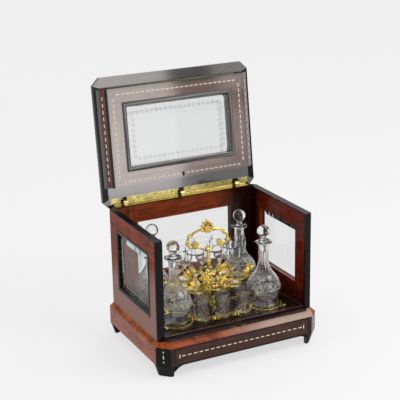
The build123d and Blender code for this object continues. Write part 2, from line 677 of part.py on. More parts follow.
def lid_cutters():
    """What the hinges take out of the lid's underside."""
    cutters = [lid_leaf_plate(0.0)]
    groove_radius = BARREL_RADIUS + BARREL_FIT
    half = HINGE_LENGTH / 2 + BARREL_FIT
    cutters.append(rod(groove_radius, (-half, HINGE_Y, HINGE_Z), half * 2, (1, 0, 0)))
    for x in lug_places():
        half_notch = NOTCH_WIDTH / 2
        cutters.append(block((x - half_notch, x + half_notch),
                             (HINGE_Y - NOTCH_FAR, HINGE_Y + LUG_PAST_TOP + LUG_ROOM),
                             (LID_BOTTOM, LID_BOTTOM + POCKET_DEPTH)))
    cutters.append(lid_flap_leaf_plate())
    return cutters


def cut_for_hinges(pieces):
    result = []
    for piece in pieces:
        for cutter in lid_cutters():
            piece = piece - cutter
        result.append(piece)
    return result


def lid_window():
    """Pane and bead of the lid, and the sight opening."""
    half_x, half_y = LID_WINDOW_LENGTH / 2, LID_WINDOW_WIDTH / 2
    sight_x = (-half_x, half_x)
    sight_y = (LID_MIDDLE_Y - half_y, LID_MIDDLE_Y + half_y)
    edge = LID_BEAD + CUT
    frame, pane, beads = framed_window(grown(sight_x, edge), grown(sight_y, edge), sight_x, sight_y,
                                       LID_THICK, LID_REBATE, LID_BEAD, BEAD_PROUD)
    plane = Plane(origin=(0, 0, LID_BOTTOM + LID_THICK))
    return placed([pane], plane), placed(beads, plane), (sight_x, sight_y)


def lid_frame():
    """Two stiles and two rails, each with its share of the canted corners."""
    top = LID_BOTTOM + LID_THICK
    sight_x, sight_y = lid_window()[2]
    outline = inset_outline(*lid_outline(), LID_MOULDING)
    panel = prism(outline, LID_BOTTOM, top)
    rise = (LID_BOTTOM - CUT, top + CUT)
    panel = panel - block(sight_x, sight_y, rise)
    panel = panel - block(grown(sight_x, LID_BEAD), grown(sight_y, LID_BEAD), (top - LID_REBATE, top + CUT))
    reach = LID_WIDTH
    shares = [
        block((-reach, sight_x[0]), (-reach, reach), rise),
        block((sight_x[1], reach), (-reach, reach), rise),
        block(sight_x, (-reach, LID_MIDDLE_Y), rise),
        block(sight_x, (LID_MIDDLE_Y, reach), rise),
    ]
    return opened(cut_for_hinges([panel & share for share in shares]))


def lid_moulding():
    outline = lid_outline()
    full = canted_outline(*outline)
    sloped = inset_outline(*outline, LID_MOULDING_SLOPE)
    inner = inset_outline(*outline, LID_MOULDING)
    lengths = mitred_ring([
        (LID_BOTTOM, full, inner),
        (LID_BOTTOM + LID_MOULDING_RISE, full, inner),
        (LID_BOTTOM + LID_THICK, sloped, inner),
    ])
    return opened(cut_for_hinges(lengths))


# --- Flap -------------------------------------------------------------------------------
def flap_pieces():
    """Frame, pane and bead of the flap, upright and closed."""
    frame_z = (FLAP_BOTTOM, FLAP_AXIS_Z)
    sight_x = (-FLAP_HALF + FLAP_STILE + FLAP_BEAD, FLAP_HALF - FLAP_STILE - FLAP_BEAD)
    sight_z = (frame_z[0] + FLAP_STILE + FLAP_BEAD, frame_z[1] - FLAP_STILE - FLAP_BEAD)
    frame, pane, beads = framed_window((-FLAP_HALF, FLAP_HALF), frame_z, sight_x, sight_z,
                                       FLAP_DEPTH, FLAP_REBATE, FLAP_BEAD, FLAP_BEAD_PROUD)
    plane = Plane(origin=(0, WALL_FRONT, 0), x_dir=(1, 0, 0), z_dir=(0, -1, 0))
    return placed(frame, plane), placed([pane], plane), placed(beads, plane)


def flap_leaf_plate():
    half = FLAP_HINGE_LENGTH / 2
    return block((-half, half), (FLAP_INNER_Y - FLAP_LEAF_THICK, FLAP_INNER_Y),
                 (FLAP_AXIS_Z - FLAP_LEAF_WIDTH, FLAP_AXIS_Z))


def flap_groove():
    half = FLAP_HINGE_LENGTH / 2
    radius = FLAP_BARREL_RADIUS + BARREL_FIT
    return rod(radius, (-half, FLAP_INNER_Y, FLAP_AXIS_Z), half * 2, (1, 0, 0))


def lock_cutters():
    """The lock's mortise in the lower rail, the bolt's way out and the keyhole."""
    half = LOCK_LENGTH / 2
    mortise = block((-half, half), (LOCK_Y[0], FLAP_INNER_Y), (FLAP_BOTTOM, FLAP_BOTTOM + LOCK_HEIGHT))
    key_z = FLAP_BOTTOM + KEYHOLE_RISE
    hole = rod(KEYHOLE_RADIUS, (0, WALL_FRONT - CUT, key_z), FLAP_DEPTH, (0, 1, 0))
    half_slot = KEYHOLE_SLOT_WIDTH / 2
    slot = block((-half_slot, half_slot), (WALL_FRONT - CUT, LOCK_Y[0] + CUT), (key_z - KEYHOLE_SLOT, key_z))
    return [mortise, hole, slot]


def flap_frame():
    frame = []
    for member in flap_pieces()[0]:
        for cutter in [flap_leaf_plate(), flap_groove()] + lock_cutters():
            member = member - cutter
        frame.append(member)
    return folded(frame)


def flap_corner_posts():
    """Canted posts that close the front corners, one at each side of the flap."""
    points = [(FLAP_HALF, WALL_FRONT), (WALL_X, WALL_FRONT + WALL_CANT),
              (WALL_X, FLAP_INNER_Y), (FLAP_HALF, FLAP_INNER_Y)]
    return folded(both_sides([prism(points, FLAP_BOTTOM, FLAP_AXIS_Z)]))


def flap_hinge_leaf():
    """The flap's own leaf, with its knuckles."""
    half_gap = FLAP_BARREL_RADIUS + BARREL_FIT / 2
    half = FLAP_HINGE_LENGTH / 2
    leaf = block((-half, half), (FLAP_INNER_Y - FLAP_LEAF_THICK, FLAP_INNER_Y),
                 (FLAP_AXIS_Z - FLAP_LEAF_WIDTH, FLAP_AXIS_Z - half_gap))
    web_y = (FLAP_INNER_Y - FLAP_LEAF_THICK, FLAP_INNER_Y)
    web_z = (FLAP_AXIS_Z - half_gap - CUT, FLAP_AXIS_Z)
    for tube in knuckles(knuckle_ranges(FLAP_HINGE_LENGTH, FLAP_KNUCKLES, 1), FLAP_INNER_Y, FLAP_AXIS_Z,
                         FLAP_BARREL_RADIUS, FLAP_PIN_RADIUS + PIN_FIT, web_y, web_z):
        leaf = leaf + tube
    return folded([leaf])


def lid_flap_leaf_plate():
    """Leaf of the flap's hinge on the lid, let into the underside behind the axis."""
    half = FLAP_HINGE_LENGTH / 2
    return block((-half, half), (FLAP_INNER_Y, FLAP_INNER_Y + FLAP_LEAF_WIDTH),
                 (LID_BOTTOM, LID_BOTTOM + FLAP_LEAF_THICK))


def lid_flap_hinge():
    """That leaf with its knuckles, and the pin that both leaves turn on."""
    leaf = lid_flap_leaf_plate()
    web_y = (FLAP_INNER_Y, FLAP_INNER_Y + FLAP_BARREL_RADIUS)
    for tube in knuckles(knuckle_ranges(FLAP_HINGE_LENGTH, FLAP_KNUCKLES, 0), FLAP_INNER_Y, FLAP_AXIS_Z,
                         FLAP_BARREL_RADIUS, FLAP_PIN_RADIUS + PIN_FIT, web_y,
                         (FLAP_AXIS_Z, LID_BOTTOM + FLAP_LEAF_THICK)):
        leaf = leaf + tube
    half = FLAP_HINGE_LENGTH / 2
    pin = rod(FLAP_PIN_RADIUS, (-half, FLAP_INNER_Y, FLAP_AXIS_Z), half * 2, (1, 0, 0))
    return opened([leaf, pin])


# --- Lock -------------------------------------------------------------------------------
def bolt_range(room):
    return grown((BOLT_Y - BOLT_THICK / 2, BOLT_Y + BOLT_THICK / 2), room)


def keep_range():
    return (BOLT_Y - KEEP_WIDTH / 2, BOLT_Y + KEEP_WIDTH / 2)


def lock_case():
    """A brass box, open inside, with a slot for the bolt and a hole for the key."""
    half = LOCK_LENGTH / 2
    outer = block((-half, half), LOCK_Y, (FLAP_BOTTOM, FLAP_BOTTOM + LOCK_HEIGHT))
    room_x = grown((-half, half), -LOCK_PLATE)
    room = block(room_x, grown(LOCK_Y, -LOCK_PLATE),
                 (FLAP_BOTTOM + LOCK_PLATE, FLAP_BOTTOM + LOCK_HEIGHT - LOCK_PLATE))
    slot = block(grown((-BOLT_WIDTH / 2, BOLT_WIDTH / 2), BOLT_FIT), bolt_range(BOLT_FIT),
                 (FLAP_BOTTOM - CUT, FLAP_BOTTOM + LOCK_PLATE + CUT))
    key_z = FLAP_BOTTOM + KEYHOLE_RISE
    key_hole = rod(KEYHOLE_RADIUS, (0, LOCK_Y[0] - CUT, key_z), LOCK_PLATE + CUT * 2, (0, 1, 0))
    return folded([outer - room - slot - key_hole])


def lock_bolt():
    half = BOLT_WIDTH / 2
    return folded([block((-half, half), bolt_range(0.0), (FLAP_BOTTOM, FLAP_BOTTOM + BOLT_HEIGHT))])


def lock_keep():
    """The plate that the bolt enters, let into the floor board."""
    half = KEEP_LENGTH / 2
    plate = block((-half, half), keep_range(), (FLOOR_TOP - KEEP_THICK, FLOOR_TOP))
    slot = block(grown((-BOLT_WIDTH / 2, BOLT_WIDTH / 2), BOLT_FIT), bolt_range(BOLT_FIT),
                 (FLOOR_TOP - KEEP_THICK - CUT, FLOOR_TOP + CUT))
    return [plate - slot]


# --- Wooden tray ------------------------------------------------------------------------
def wooden_tray():
    across, along = (-TRAY_HALF, TRAY_HALF), (TRAY_FRONT, TRAY_BACK)
    outer = oblong(across, along)
    inner_x, inner_y = grown(across, -TRAY_LIP_WIDTH), grown(along, -TRAY_LIP_WIDTH)
    inner = oblong(inner_x, inner_y)
    lips = mitred_ring([(FLOOR_TOP, outer, inner), (FLOOR_TOP + TRAY_LIP_HEIGHT, outer, inner)])
    return [block(inner_x, inner_y, (FLOOR_TOP, TRAY_TOP))] + lips


# --- Gilt stand -------------------------------------------------------------------------
def set_down(shape):
    """A piece of the stand, sized to its room and set down on the wooden tray."""
    whole = Compound([Pos(0, 0, -TRAY_TOP) * shape])
    sized = scale(whole, STAND_FIT)
    return STAND * Pos(0, 0, TRAY_TOP) * sized


def bar(start, end, width):
    """A flat bar in plan between two points."""
    dx, dy = end[0] - start[0], end[1] - start[1]
    length = sqrt(dx * dx + dy * dy)
    middle = Pos((start[0] + end[0]) / 2, (start[1] + end[1]) / 2)
    turn = Rot(0, 0, Vector(1, 0, 0).get_signed_angle(Vector(dx, dy, 0), Vector(0, 0, 1)))
    return middle * turn * Rectangle(length, width)


def finial_directions():
    """Each decanter's place, with the outward diagonal there."""
    diagonal = sqrt(0.5)
    return [((x, y), (diagonal if x > 0 else -diagonal, diagonal if y > 0 else -diagonal))
            for x, y in DECANTER_SPOTS.values()]


def base_frame():
    """Rings for decanters and tumblers, brazed to flat bars and a hub."""
    small_out = TUMBLER_RING + TUMBLER_RING_WIDTH
    decanters = [Pos(x, y) * Circle(RING_OUTSIDE) for x, y in DECANTER_SPOTS.values()]
    tumblers = [Pos(x, y) * Circle(small_out) for x, y in TUMBLER_SPOTS]
    holes = [Pos(x, y) * Circle(DECANTER_RING) for x, y in DECANTER_SPOTS.values()]
    holes += [Pos(x, y) * Circle(TUMBLER_RING) for x, y in TUMBLER_SPOTS]
    bars = [bar((-TUMBLER_SIDE_X, 0), (TUMBLER_SIDE_X, 0), BAR_WIDTH),
            bar((0, -TUMBLER_Y), (0, TUMBLER_Y), BAR_WIDTH)]
    for side in (-1, 1):
        bars.append(bar((-TUMBLER_X, side * TUMBLER_Y), (TUMBLER_X, side * TUMBLER_Y), BAR_WIDTH))
        bars.append(bar((side * DECANTER_X, -DECANTER_Y), (side * DECANTER_X, DECANTER_Y), BAR_WIDTH))
        for end in (-1, 1):
            tumbler_end = (end * TUMBLER_X, side * TUMBLER_Y)
            bars.append(bar(tumbler_end, (end * DECANTER_X, side * DECANTER_Y), BAR_WIDTH))
    for (x, y), (dx, dy) in finial_directions():
        reach = RING_OUTSIDE + FINIAL_LUG
        bars.append(bar((x, y), (x + dx * reach, y + dy * reach), BAR_WIDTH))
    flat = Circle(HUB_RADIUS)
    for piece in bars + decanters + tumblers:
        flat = flat + piece
    rings = decanters[0]
    for piece in decanters[1:] + tumblers:
        rings = rings + piece
    for hole in holes:
        flat = flat - hole
        rings = rings - hole
    frame = extrude(flat, BAR_HEIGHT) + extrude(rings, RING_HEIGHT)
    return [set_down(Pos(0, 0, TRAY_TOP) * frame)]


def corner_finials():
    """Small knobs at the outer corners of the decanter rings."""
    start = RING_OUTSIDE + FINIAL_LUG
    centre = start + FINIAL_NECK + FINIAL_RADIUS
    height = TRAY_TOP + FINIAL_RADIUS
    neck_height = TRAY_TOP + BAR_HEIGHT / 2
    finials = []
    for (x, y), (dx, dy) in finial_directions():
        root = (x + dx * start, y + dy * start, neck_height)
        neck = rod(FINIAL_NECK_RADIUS, root, FINIAL_RADIUS + FINIAL_NECK, (dx, dy, 0))
        ball = Pos(x + dx * centre, y + dy * centre, height) * Sphere(FINIAL_RADIUS)
        finials.append(set_down(neck + ball))
    return finials


def turned(points):
    """A solid of revolution from (radius, height) points, closed along the axis."""
    outline = [(0, points[0][1])] + points + [(0, points[-1][1])]
    return revolve(make_face(Plane.XZ * Polyline(*outline, close=True)), Axis.Z)


def column():
    """The turned stem below the upper tray, the stem above it and the rosettes on its block."""
    low, high = TRAY_TOP + BAR_HEIGHT, UPPER_TRAY_TOP - UPPER_TRAY_THICK
    swell = (low + high) / 2
    flat, cone = COLUMN_FOOT_THICK, COLUMN_FOOT_THICK + COLUMN_FOOT_CONE
    lower = turned([
        (COLUMN_FOOT, low), (COLUMN_FOOT, low + flat), (COLUMN_RADIUS, low + cone),
        (COLUMN_RADIUS, swell - COLUMN_SWELL_HALF), (COLUMN_SWELL, swell),
        (COLUMN_RADIUS, swell + COLUMN_SWELL_HALF), (COLUMN_RADIUS, high - cone),
        (COLUMN_FOOT, high - flat), (COLUMN_FOOT, high)])
    half = COLUMN_BLOCK / 2
    block_top = UPPER_TRAY_TOP + COLUMN_BLOCK_HEIGHT
    knob = UPPER_TRAY_TOP + COLUMN_KNOB_RISE
    taper = COLUMN_KNOB_HALF + COLUMN_KNOB_CONE
    upper = block((-half, half), (-half, half), (UPPER_TRAY_TOP, block_top)) + turned([
        (COLUMN_RADIUS, block_top - CUT), (COLUMN_RADIUS, knob - taper),
        (COLUMN_KNOB_RADIUS, knob - COLUMN_KNOB_HALF), (COLUMN_KNOB_RADIUS, knob + COLUMN_KNOB_HALF),
        (COLUMN_RADIUS, knob + taper), (COLUMN_RADIUS, COLUMN_TOP)])
    middle = UPPER_TRAY_TOP + ROSETTE_RADIUS
    rosettes = [rod(ROSETTE_RADIUS, (0, side * half, middle), ROSETTE_THICK, (0, side, 0))
                for side in (-1, 1)]
    return [set_down(piece) for piece in [lower, upper] + rosettes]


def upper_tray():
    """A lobed plate with a shallow dip for each stemmed glass."""
    plan = Rectangle(GLASS_X * 2, GLASS_Y * 2)
    for x, y in GLASS_SPOTS:
        plan = plan + Pos(x, y) * Circle(GLASS_FOOT + UPPER_LOBE)
    for side in (-1, 1):
        plan = plan + Pos(side * UPPER_END_X, 0) * Circle(UPPER_END_RADIUS)
    plate = Pos(0, 0, UPPER_TRAY_TOP - UPPER_TRAY_THICK) * extrude(plan, UPPER_TRAY_THICK)
    for x, y in GLASS_SPOTS:
        plate = plate - rod(GLASS_FOOT + DIP_FIT, (x, y, GLASS_SEAT), DIP + CUT, (0, 0, 1))
    return [set_down(plate)]


def scroll(x, y, radius, facing):
    """An upright hoop that stands on the upper tray."""
    half = SCROLL_THICK / 2
    start = (x - facing[0] * half, y - facing[1] * half, UPPER_TRAY_TOP + radius - SCROLL_FLAT)
    hoop = rod(radius, start, SCROLL_THICK, facing) - rod(radius - SCROLL_BAR, start, SCROLL_THICK, facing)
    reach = radius * 2
    return hoop & block((x - reach, x + reach), (y - reach, y + reach),
                        (UPPER_TRAY_TOP, UPPER_TRAY_TOP + reach * 2))


def gallery_scrolls():
    scrolls = []
    for side in (-1, 1):
        scrolls.append(scroll(side * INNER_SCROLL_X, 0, INNER_SCROLL_RADIUS, (0, 1, 0)))
        scrolls.append(scroll(side * END_SCROLL_X, 0, END_SCROLL_RADIUS, (1, 0, 0)))
        for end in (-1, 1):
            scrolls.append(scroll(side * EDGE_SCROLL_X, end * EDGE_SCROLL_Y, EDGE_SCROLL_RADIUS, (0, 1, 0)))
    return [set_down(piece) for piece in scrolls]


def carrying_handle():
    """A looped handle: a bar that curls in at both ends, on a bowed arm, with a crest."""
    crown = JernArc((0, HANDLE_TOP), (1, 0), CROWN_RADIUS, -CROWN_TURN)
    shoulder = JernArc(crown @ 1, crown % 1, SHOULDER_RADIUS, -SHOULDER_TURN)
    curl = JernArc(shoulder @ 1, shoulder % 1, CURL_RADIUS, -CURL_TURN)
    path = Plane.XZ * Curve([crown, shoulder, curl])
    section = Plane(origin=(0, 0, HANDLE_TOP), z_dir=(1, 0, 0)) * Circle(HANDLE_BAR)
    side = sweep(section, path=path) + Pos(*(path @ 1)) * Sphere(HANDLE_TIP)
    lowest = curl @ ((180 - CROWN_TURN - SHOULDER_TURN) / CURL_TURN)
    arm_start = Vector(0, 0, COLUMN_TOP + HANDLE_BAR)
    arm_line = Vector(lowest.X, 0, lowest.Y) - arm_start
    half = side + rod(HANDLE_BAR, arm_start, arm_line.length, arm_line.normalized())
    cap = rod(COLUMN_RADIUS, (0, 0, COLUMN_TOP), HANDLE_CAP, (0, 0, 1))
    crest_low = HANDLE_TOP - HANDLE_BAR * 2
    crest_middle = (0, CREST_THICK / 2, crest_low + CREST_HEIGHT / 2)
    crest = Plane(origin=crest_middle, x_dir=(1, 0, 0), z_dir=(0, -1, 0))
    leaf = extrude(crest * Ellipse(CREST_WIDTH / 2, CREST_HEIGHT / 2), CREST_THICK)
    handle = half + mirror(half, about=Plane.YZ) + cap + leaf
    return [set_down(Rot(0, 0, HANDLE_TURN) * handle)]


# --- Vessels ----------------------------------------------------------------------------
def vessel(outline, x, y, z):
    """A turned vessel on the stand, from one closed outline of edges in the XZ plane."""
    body = revolve(Plane.XZ * make_face(outline), Axis.Z)
    return set_down(Pos(x, y, z) * body)


def decanter(x, y):
    """An onion body with a slim neck and a flared lip."""
    wall = DECANTER_WALL
    shoulder, shoulder_rise = DECANTER_SHOULDER
    waist, waist_rise = DECANTER_WAIST
    bore = PLUG_RADIUS + PLUG_FIT
    lip_low = DECANTER_HEIGHT - DECANTER_LIP_THICK
    outline = [
        Line((0, 0), (DECANTER_BASE, 0)),
        ThreePointArc((DECANTER_BASE, 0), (DECANTER_BODY, DECANTER_BODY_RISE), DECANTER_SHOULDER),
        ThreePointArc(DECANTER_SHOULDER, DECANTER_WAIST, (DECANTER_NECK, DECANTER_NECK_RISE)),
        Line((DECANTER_NECK, DECANTER_NECK_RISE), (DECANTER_NECK, DECANTER_FLARE_RISE)),
        ThreePointArc((DECANTER_NECK, DECANTER_FLARE_RISE), DECANTER_FLARE, (DECANTER_LIP, lip_low)),
        Line((DECANTER_LIP, lip_low), (DECANTER_LIP, DECANTER_HEIGHT)),
        Line((DECANTER_LIP, DECANTER_HEIGHT), (bore, DECANTER_HEIGHT)),
        Line((bore, DECANTER_HEIGHT), (bore, DECANTER_NECK_RISE)),
        ThreePointArc((bore, DECANTER_NECK_RISE), (waist - wall, waist_rise),
                      (shoulder - wall, shoulder_rise)),
        ThreePointArc((shoulder - wall, shoulder_rise), (DECANTER_BODY - wall, DECANTER_BODY_RISE),
                      (DECANTER_BASE - wall, DECANTER_FLOOR)),
        Line((DECANTER_BASE - wall, DECANTER_FLOOR), (0, DECANTER_FLOOR)),
        Line((0, DECANTER_FLOOR), (0, 0)),
    ]
    return [vessel(outline, x, y, TRAY_TOP)]


def stopper(x, y):
    """A ball on a collar that rests on the lip, with a plug in the neck."""
    top = TRAY_TOP + DECANTER_HEIGHT
    plug = rod(PLUG_RADIUS, (x, y, top - PLUG_LENGTH), PLUG_LENGTH + STOPPER_COLLAR_THICK, (0, 0, 1))
    collar = rod(STOPPER_COLLAR, (x, y, top), STOPPER_COLLAR_THICK, (0, 0, 1))
    stalk = rod(STOPPER_STALK, (x, y, top), STOPPER_BALL_RISE, (0, 0, 1))
    ball = Pos(x, y, top + STOPPER_BALL_RISE) * Sphere(STOPPER_BALL)
    return [set_down(plug + collar + stalk + ball)]


def tumbler(x, y):
    """A short thick-based glass that widens to its rim."""
    wall = TUMBLER_WALL
    floor_share = TUMBLER_FLOOR / TUMBLER_HEIGHT
    inner_low = TUMBLER_BASE - wall + (TUMBLER_RIM - TUMBLER_BASE) * floor_share
    points = [(0, 0), (TUMBLER_BASE, 0), (TUMBLER_RIM, TUMBLER_HEIGHT), (TUMBLER_RIM - wall, TUMBLER_HEIGHT),
              (inner_low, TUMBLER_FLOOR), (0, TUMBLER_FLOOR)]
    return [vessel(Polyline(*points, close=True).edges(), x, y, TRAY_TOP)]


def stemmed_glass(x, y):
    """A liqueur glass: a round foot, a stem and a tall flared bowl."""
    wall = GLASS_WALL
    bowl_low = GLASS_BOWL_RISE
    floor = bowl_low + GLASS_BOWL_FLOOR
    side_rise = bowl_low + GLASS_BOWL_SIDE_RISE
    points = [
        (0, 0), (GLASS_FOOT, 0), (GLASS_FOOT, GLASS_FOOT_THICK), GLASS_FOOT_CONE,
        (GLASS_STEM, GLASS_STEM_LOW), (GLASS_STEM, bowl_low - GLASS_STEM_TAPER),
        (GLASS_BOWL_BASE, bowl_low), (GLASS_BOWL_SIDE, side_rise),
        (GLASS_RIM, GLASS_HEIGHT), (GLASS_RIM - wall, GLASS_HEIGHT),
        (GLASS_BOWL_SIDE - GLASS_SIDE_WALL, side_rise), (GLASS_BOWL_BASE, floor), (0, floor)]
    return [vessel(Polyline(*points, close=True).edges(), x, y, GLASS_SEAT)]


# --- Every node -------------------------------------------------------------------------
def case_nodes():
    right_frame, right_pane, right_bead = right_wall()
    back_frame, back_pane, back_bead = back_wall()
    return {
        "plinth_boards": plinth_boards(),
        "plinth_corner_blocks": plinth_corner_blocks(),
        "bracket_feet": bracket_feet(),
        "plinth_moulding": plinth_moulding(),
        "floor_board": floor_board(),
        "side_wall_frames": both_sides(right_frame),
        "back_wall_frame": back_frame,
        "wall_window_panes": both_sides(right_pane) + back_pane,
        "wall_window_beads": both_sides(right_bead) + back_bead,
        "wall_corner_posts": wall_corner_posts(),
        "wall_lippings": wall_lippings(),
        "case_hinge_leaf": case_hinge_leaf(),
        "case_hinge_screws": case_hinge_screws(),
        "lock_keep": lock_keep(),
        "hinge_pin": hinge_pin(),
    }


def lid_nodes():
    pane, beads, _ = lid_window()
    return {
        "lid_frame": lid_frame(),
        "lid_moulding": lid_moulding(),
        "lid_pane": opened(pane),
        "lid_bead": opened(beads),
        "lid_hinge_leaf": lid_hinge_leaf(),
        "lid_hinge_screws": lid_hinge_screws(),
        "lid_flap_hinge": lid_flap_hinge(),
    }


def flap_nodes():
    _, pane, beads = flap_pieces()
    return {
        "flap_frame": flap_frame(),
        "flap_pane": folded(pane),
        "flap_bead": folded(beads),
        "flap_corner_posts": flap_corner_posts(),
        "flap_hinge_leaf": flap_hinge_leaf(),
        "lock_case": lock_case(),
        "lock_bolt": lock_bolt(),
    }


def stand_nodes():
    nodes = {
        "wooden_tray": wooden_tray(),
        "base_frame": base_frame(),
        "corner_finials": corner_finials(),
        "column": column(),
        "upper_tray": upper_tray(),
        "gallery_scrolls": gallery_scrolls(),
        "carrying_handle": carrying_handle(),
    }
    for place, (x, y) in DECANTER_SPOTS.items():
        nodes["decanter_" + place] = decanter(x, y)
        nodes["stopper_" + place] = stopper(x, y)
    for number, (x, y) in enumerate(TUMBLER_SPOTS, start=1):
        nodes[f"tumbler_{number}"] = tumbler(x, y)
    for number, (x, y) in enumerate(GLASS_SPOTS, start=1):
        nodes[f"stemmed_glass_{number}"] = stemmed_glass(x, y)
    return nodes


def main():
    os.makedirs("parts", exist_ok=True)
    nodes = {**case_nodes(), **lid_nodes(), **flap_nodes(), **stand_nodes()}
    for name, shapes in nodes.items():
        solids = [solid for shape in shapes for solid in shape.solids()]
        export_step(Compound(solids), f"parts/{name}.step")
        print(name, len(solids))
    print(len(nodes), "nodes")


if __name__ == "__main__":
    main()
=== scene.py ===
from math import atan2, cos, exp, hypot, pi, radians, sin

import bmesh
import bpy
from bpy.props import FloatProperty, FloatVectorProperty, IntProperty, PointerProperty
from mathutils import Matrix, Vector


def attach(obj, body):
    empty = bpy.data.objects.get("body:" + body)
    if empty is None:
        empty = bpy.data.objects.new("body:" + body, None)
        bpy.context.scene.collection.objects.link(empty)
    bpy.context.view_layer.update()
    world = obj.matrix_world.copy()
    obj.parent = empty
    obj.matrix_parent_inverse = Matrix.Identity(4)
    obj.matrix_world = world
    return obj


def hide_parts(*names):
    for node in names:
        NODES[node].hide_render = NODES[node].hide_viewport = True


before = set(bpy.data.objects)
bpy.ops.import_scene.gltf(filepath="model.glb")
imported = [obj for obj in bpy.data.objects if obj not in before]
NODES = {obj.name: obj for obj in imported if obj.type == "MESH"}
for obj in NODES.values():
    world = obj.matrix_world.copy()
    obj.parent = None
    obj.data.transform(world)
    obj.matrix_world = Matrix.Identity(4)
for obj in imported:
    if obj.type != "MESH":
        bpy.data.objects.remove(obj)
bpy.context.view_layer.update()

bl_info = {
    "name": "Antique Tantalus",
    "version": (1, 0, 0),
    "blender": (4, 5, 0),
    "location": "3D View > Sidebar > Tantalus",
    "description": "Finishes and fine work for a glazed liqueur cabinet",
    "category": "Object",
}

MM = 0.001

# Places of the cabinet, in millimetres, in the frame of the solids.
HINGE_Y, HINGE_Z = 120.0, 250.7
LID_OPEN = 97.0
LID_TOP = 264.9
LID_MIDDLE_Y = 2.5
LID_SIGHT = (112.0, 63.5)
FLAP_FRONT_Y = -118.0
FLAP_INNER_Y = -101.3
FLAP_AXIS_Z = 249.5
FLAP_SIGHT_X = 106.6
FLAP_SIGHT_Z = (99.4, 214.0)
FLAP_BEAD = 8.5
FLAP_BEAD_PROUD = 1.5
POST_INNER, POST_OUTER = (142.1, -118.0), (158.0, -102.1)
WALL_X = 158.0
WALL_BACK = 118.0
WALL_SIGHT_Z = (106.0, 215.0)
SIDE_SIGHT = 65.0
BACK_SIGHT = 100.0
PANE_EDGE, PANE_THICK = 2.5, 5.0
PLINTH_FRONT = -125.0
PLINTH_HALF = 165.0
PLINTH_CANT = 20.0
BOARDS = (22.0, 56.5)
TRAY_TOP = 67.5
UPPER_TRAY_TOP = 112.5
GLASS_SEAT = 111.5
STAND_X, STAND_Y, STAND_TURN = -4.0, 3.0, -2.5
HANDLE_TURN = -6.0
ROSETTE_Z = 125.5
DECANTERS = {"front_left": (-91.0, -50.05), "front_right": (91.0, -50.05),
             "back_left": (-91.0, 50.05), "back_right": (91.0, 50.05)}
TUMBLERS = [(x, y) for y in (-62.05, 62.05) for x in (-41.0, 0.0, 41.0)] + [(-112.0, 0.0), (112.0, 0.0)]
STEMMED = [(x, y) for y in (-26.0, 26.0) for x in (-37.0, 0.0, 37.0)] + [(-61.9, 0.0), (61.9, 0.0)]

# The insides of the frames, the hinge's screws, and what follows from the places above.
WALL_INNER = 144.6
WALL_MIDDLE_Z, WALL_HALF_Z = sum(WALL_SIGHT_Z) / 2, (WALL_SIGHT_Z[1] - WALL_SIGHT_Z[0]) / 2
FLAP_MIDDLE_Z, FLAP_HALF_Z = sum(FLAP_SIGHT_Z) / 2, (FLAP_SIGHT_Z[1] - FLAP_SIGHT_Z[0]) / 2
FLAP_REBATE, LID_REBATE, WALL_REBATE = 10.0, 8.5, 8.0
LID_BEAD, WALL_BEAD = 8.0, 6.0
PLINTH_SIDE = PLINTH_HALF - 13.0
POST_MIDDLE = [(inner + outer) / 2 for inner, outer in zip(POST_INNER, POST_OUTER)]
LID_MOULDING_SIDE = 154.0
KEYHOLE_Z = 72.4
LEAF_WIDTH = 20.0
# Body, length of the row, distance from the hinge's axis and level of the screws' heads.
SCREW_ROWS = (("lid", 295.0, 8.6, 250.95), ("case", 283.0, 8.5, 250.4))
SCREWS = 8

WORN_BY = {
    "ebony": ("plinth_corner_blocks", "bracket_feet", "wall_window_beads", "wall_lippings", "lid_bead"),
    "lid_ebony": ("lid_frame", "lid_moulding"),
    "plinth_boards": ("plinth_boards",), "moulding": ("plinth_moulding",), "lining": ("floor_board",),
    "side_mahogany": ("side_wall_frames",), "back_mahogany": ("back_wall_frame",),
    "post_mahogany": ("wall_corner_posts",), "rosewood": ("flap_frame",),
    "corner_posts": ("flap_corner_posts",), "tray_lining": ("wooden_tray",),
    "brass": ("case_hinge_leaf", "case_hinge_screws", "lock_keep", "hinge_pin", "lid_hinge_leaf",
              "lid_hinge_screws", "lock_case", "lock_bolt"),
    "aged_brass": ("lid_flap_hinge", "flap_hinge_leaf"),
    "gilt": ("base_frame", "corner_finials", "column", "upper_tray", "gallery_scrolls"),
}
FINISH_OF = {node: finish for finish, nodes in WORN_BY.items() for node in nodes}
FINISHES = {}


# --- What a user would change -----------------------------------------------------------
def colour(name, description, default):
    return FloatVectorProperty(name=name, description=description, default=default, subtype="COLOR",
                               min=0.0, max=1.0)


def length(name, description, millimetres):
    return FloatProperty(name=name, description=description, default=millimetres * MM, min=0.0,
                         unit="LENGTH", precision=5)


def factor(name, description, default, top=1.0):
    return FloatProperty(name=name, description=description, default=default, min=0.0, max=top,
                         subtype="FACTOR")


def level(name, description, default):
    return FloatProperty(name=name, description=description, default=default, min=0.0)


def number(name, description, default, low, high):
    return IntProperty(name=name, description=description, default=default, min=low, max=high)


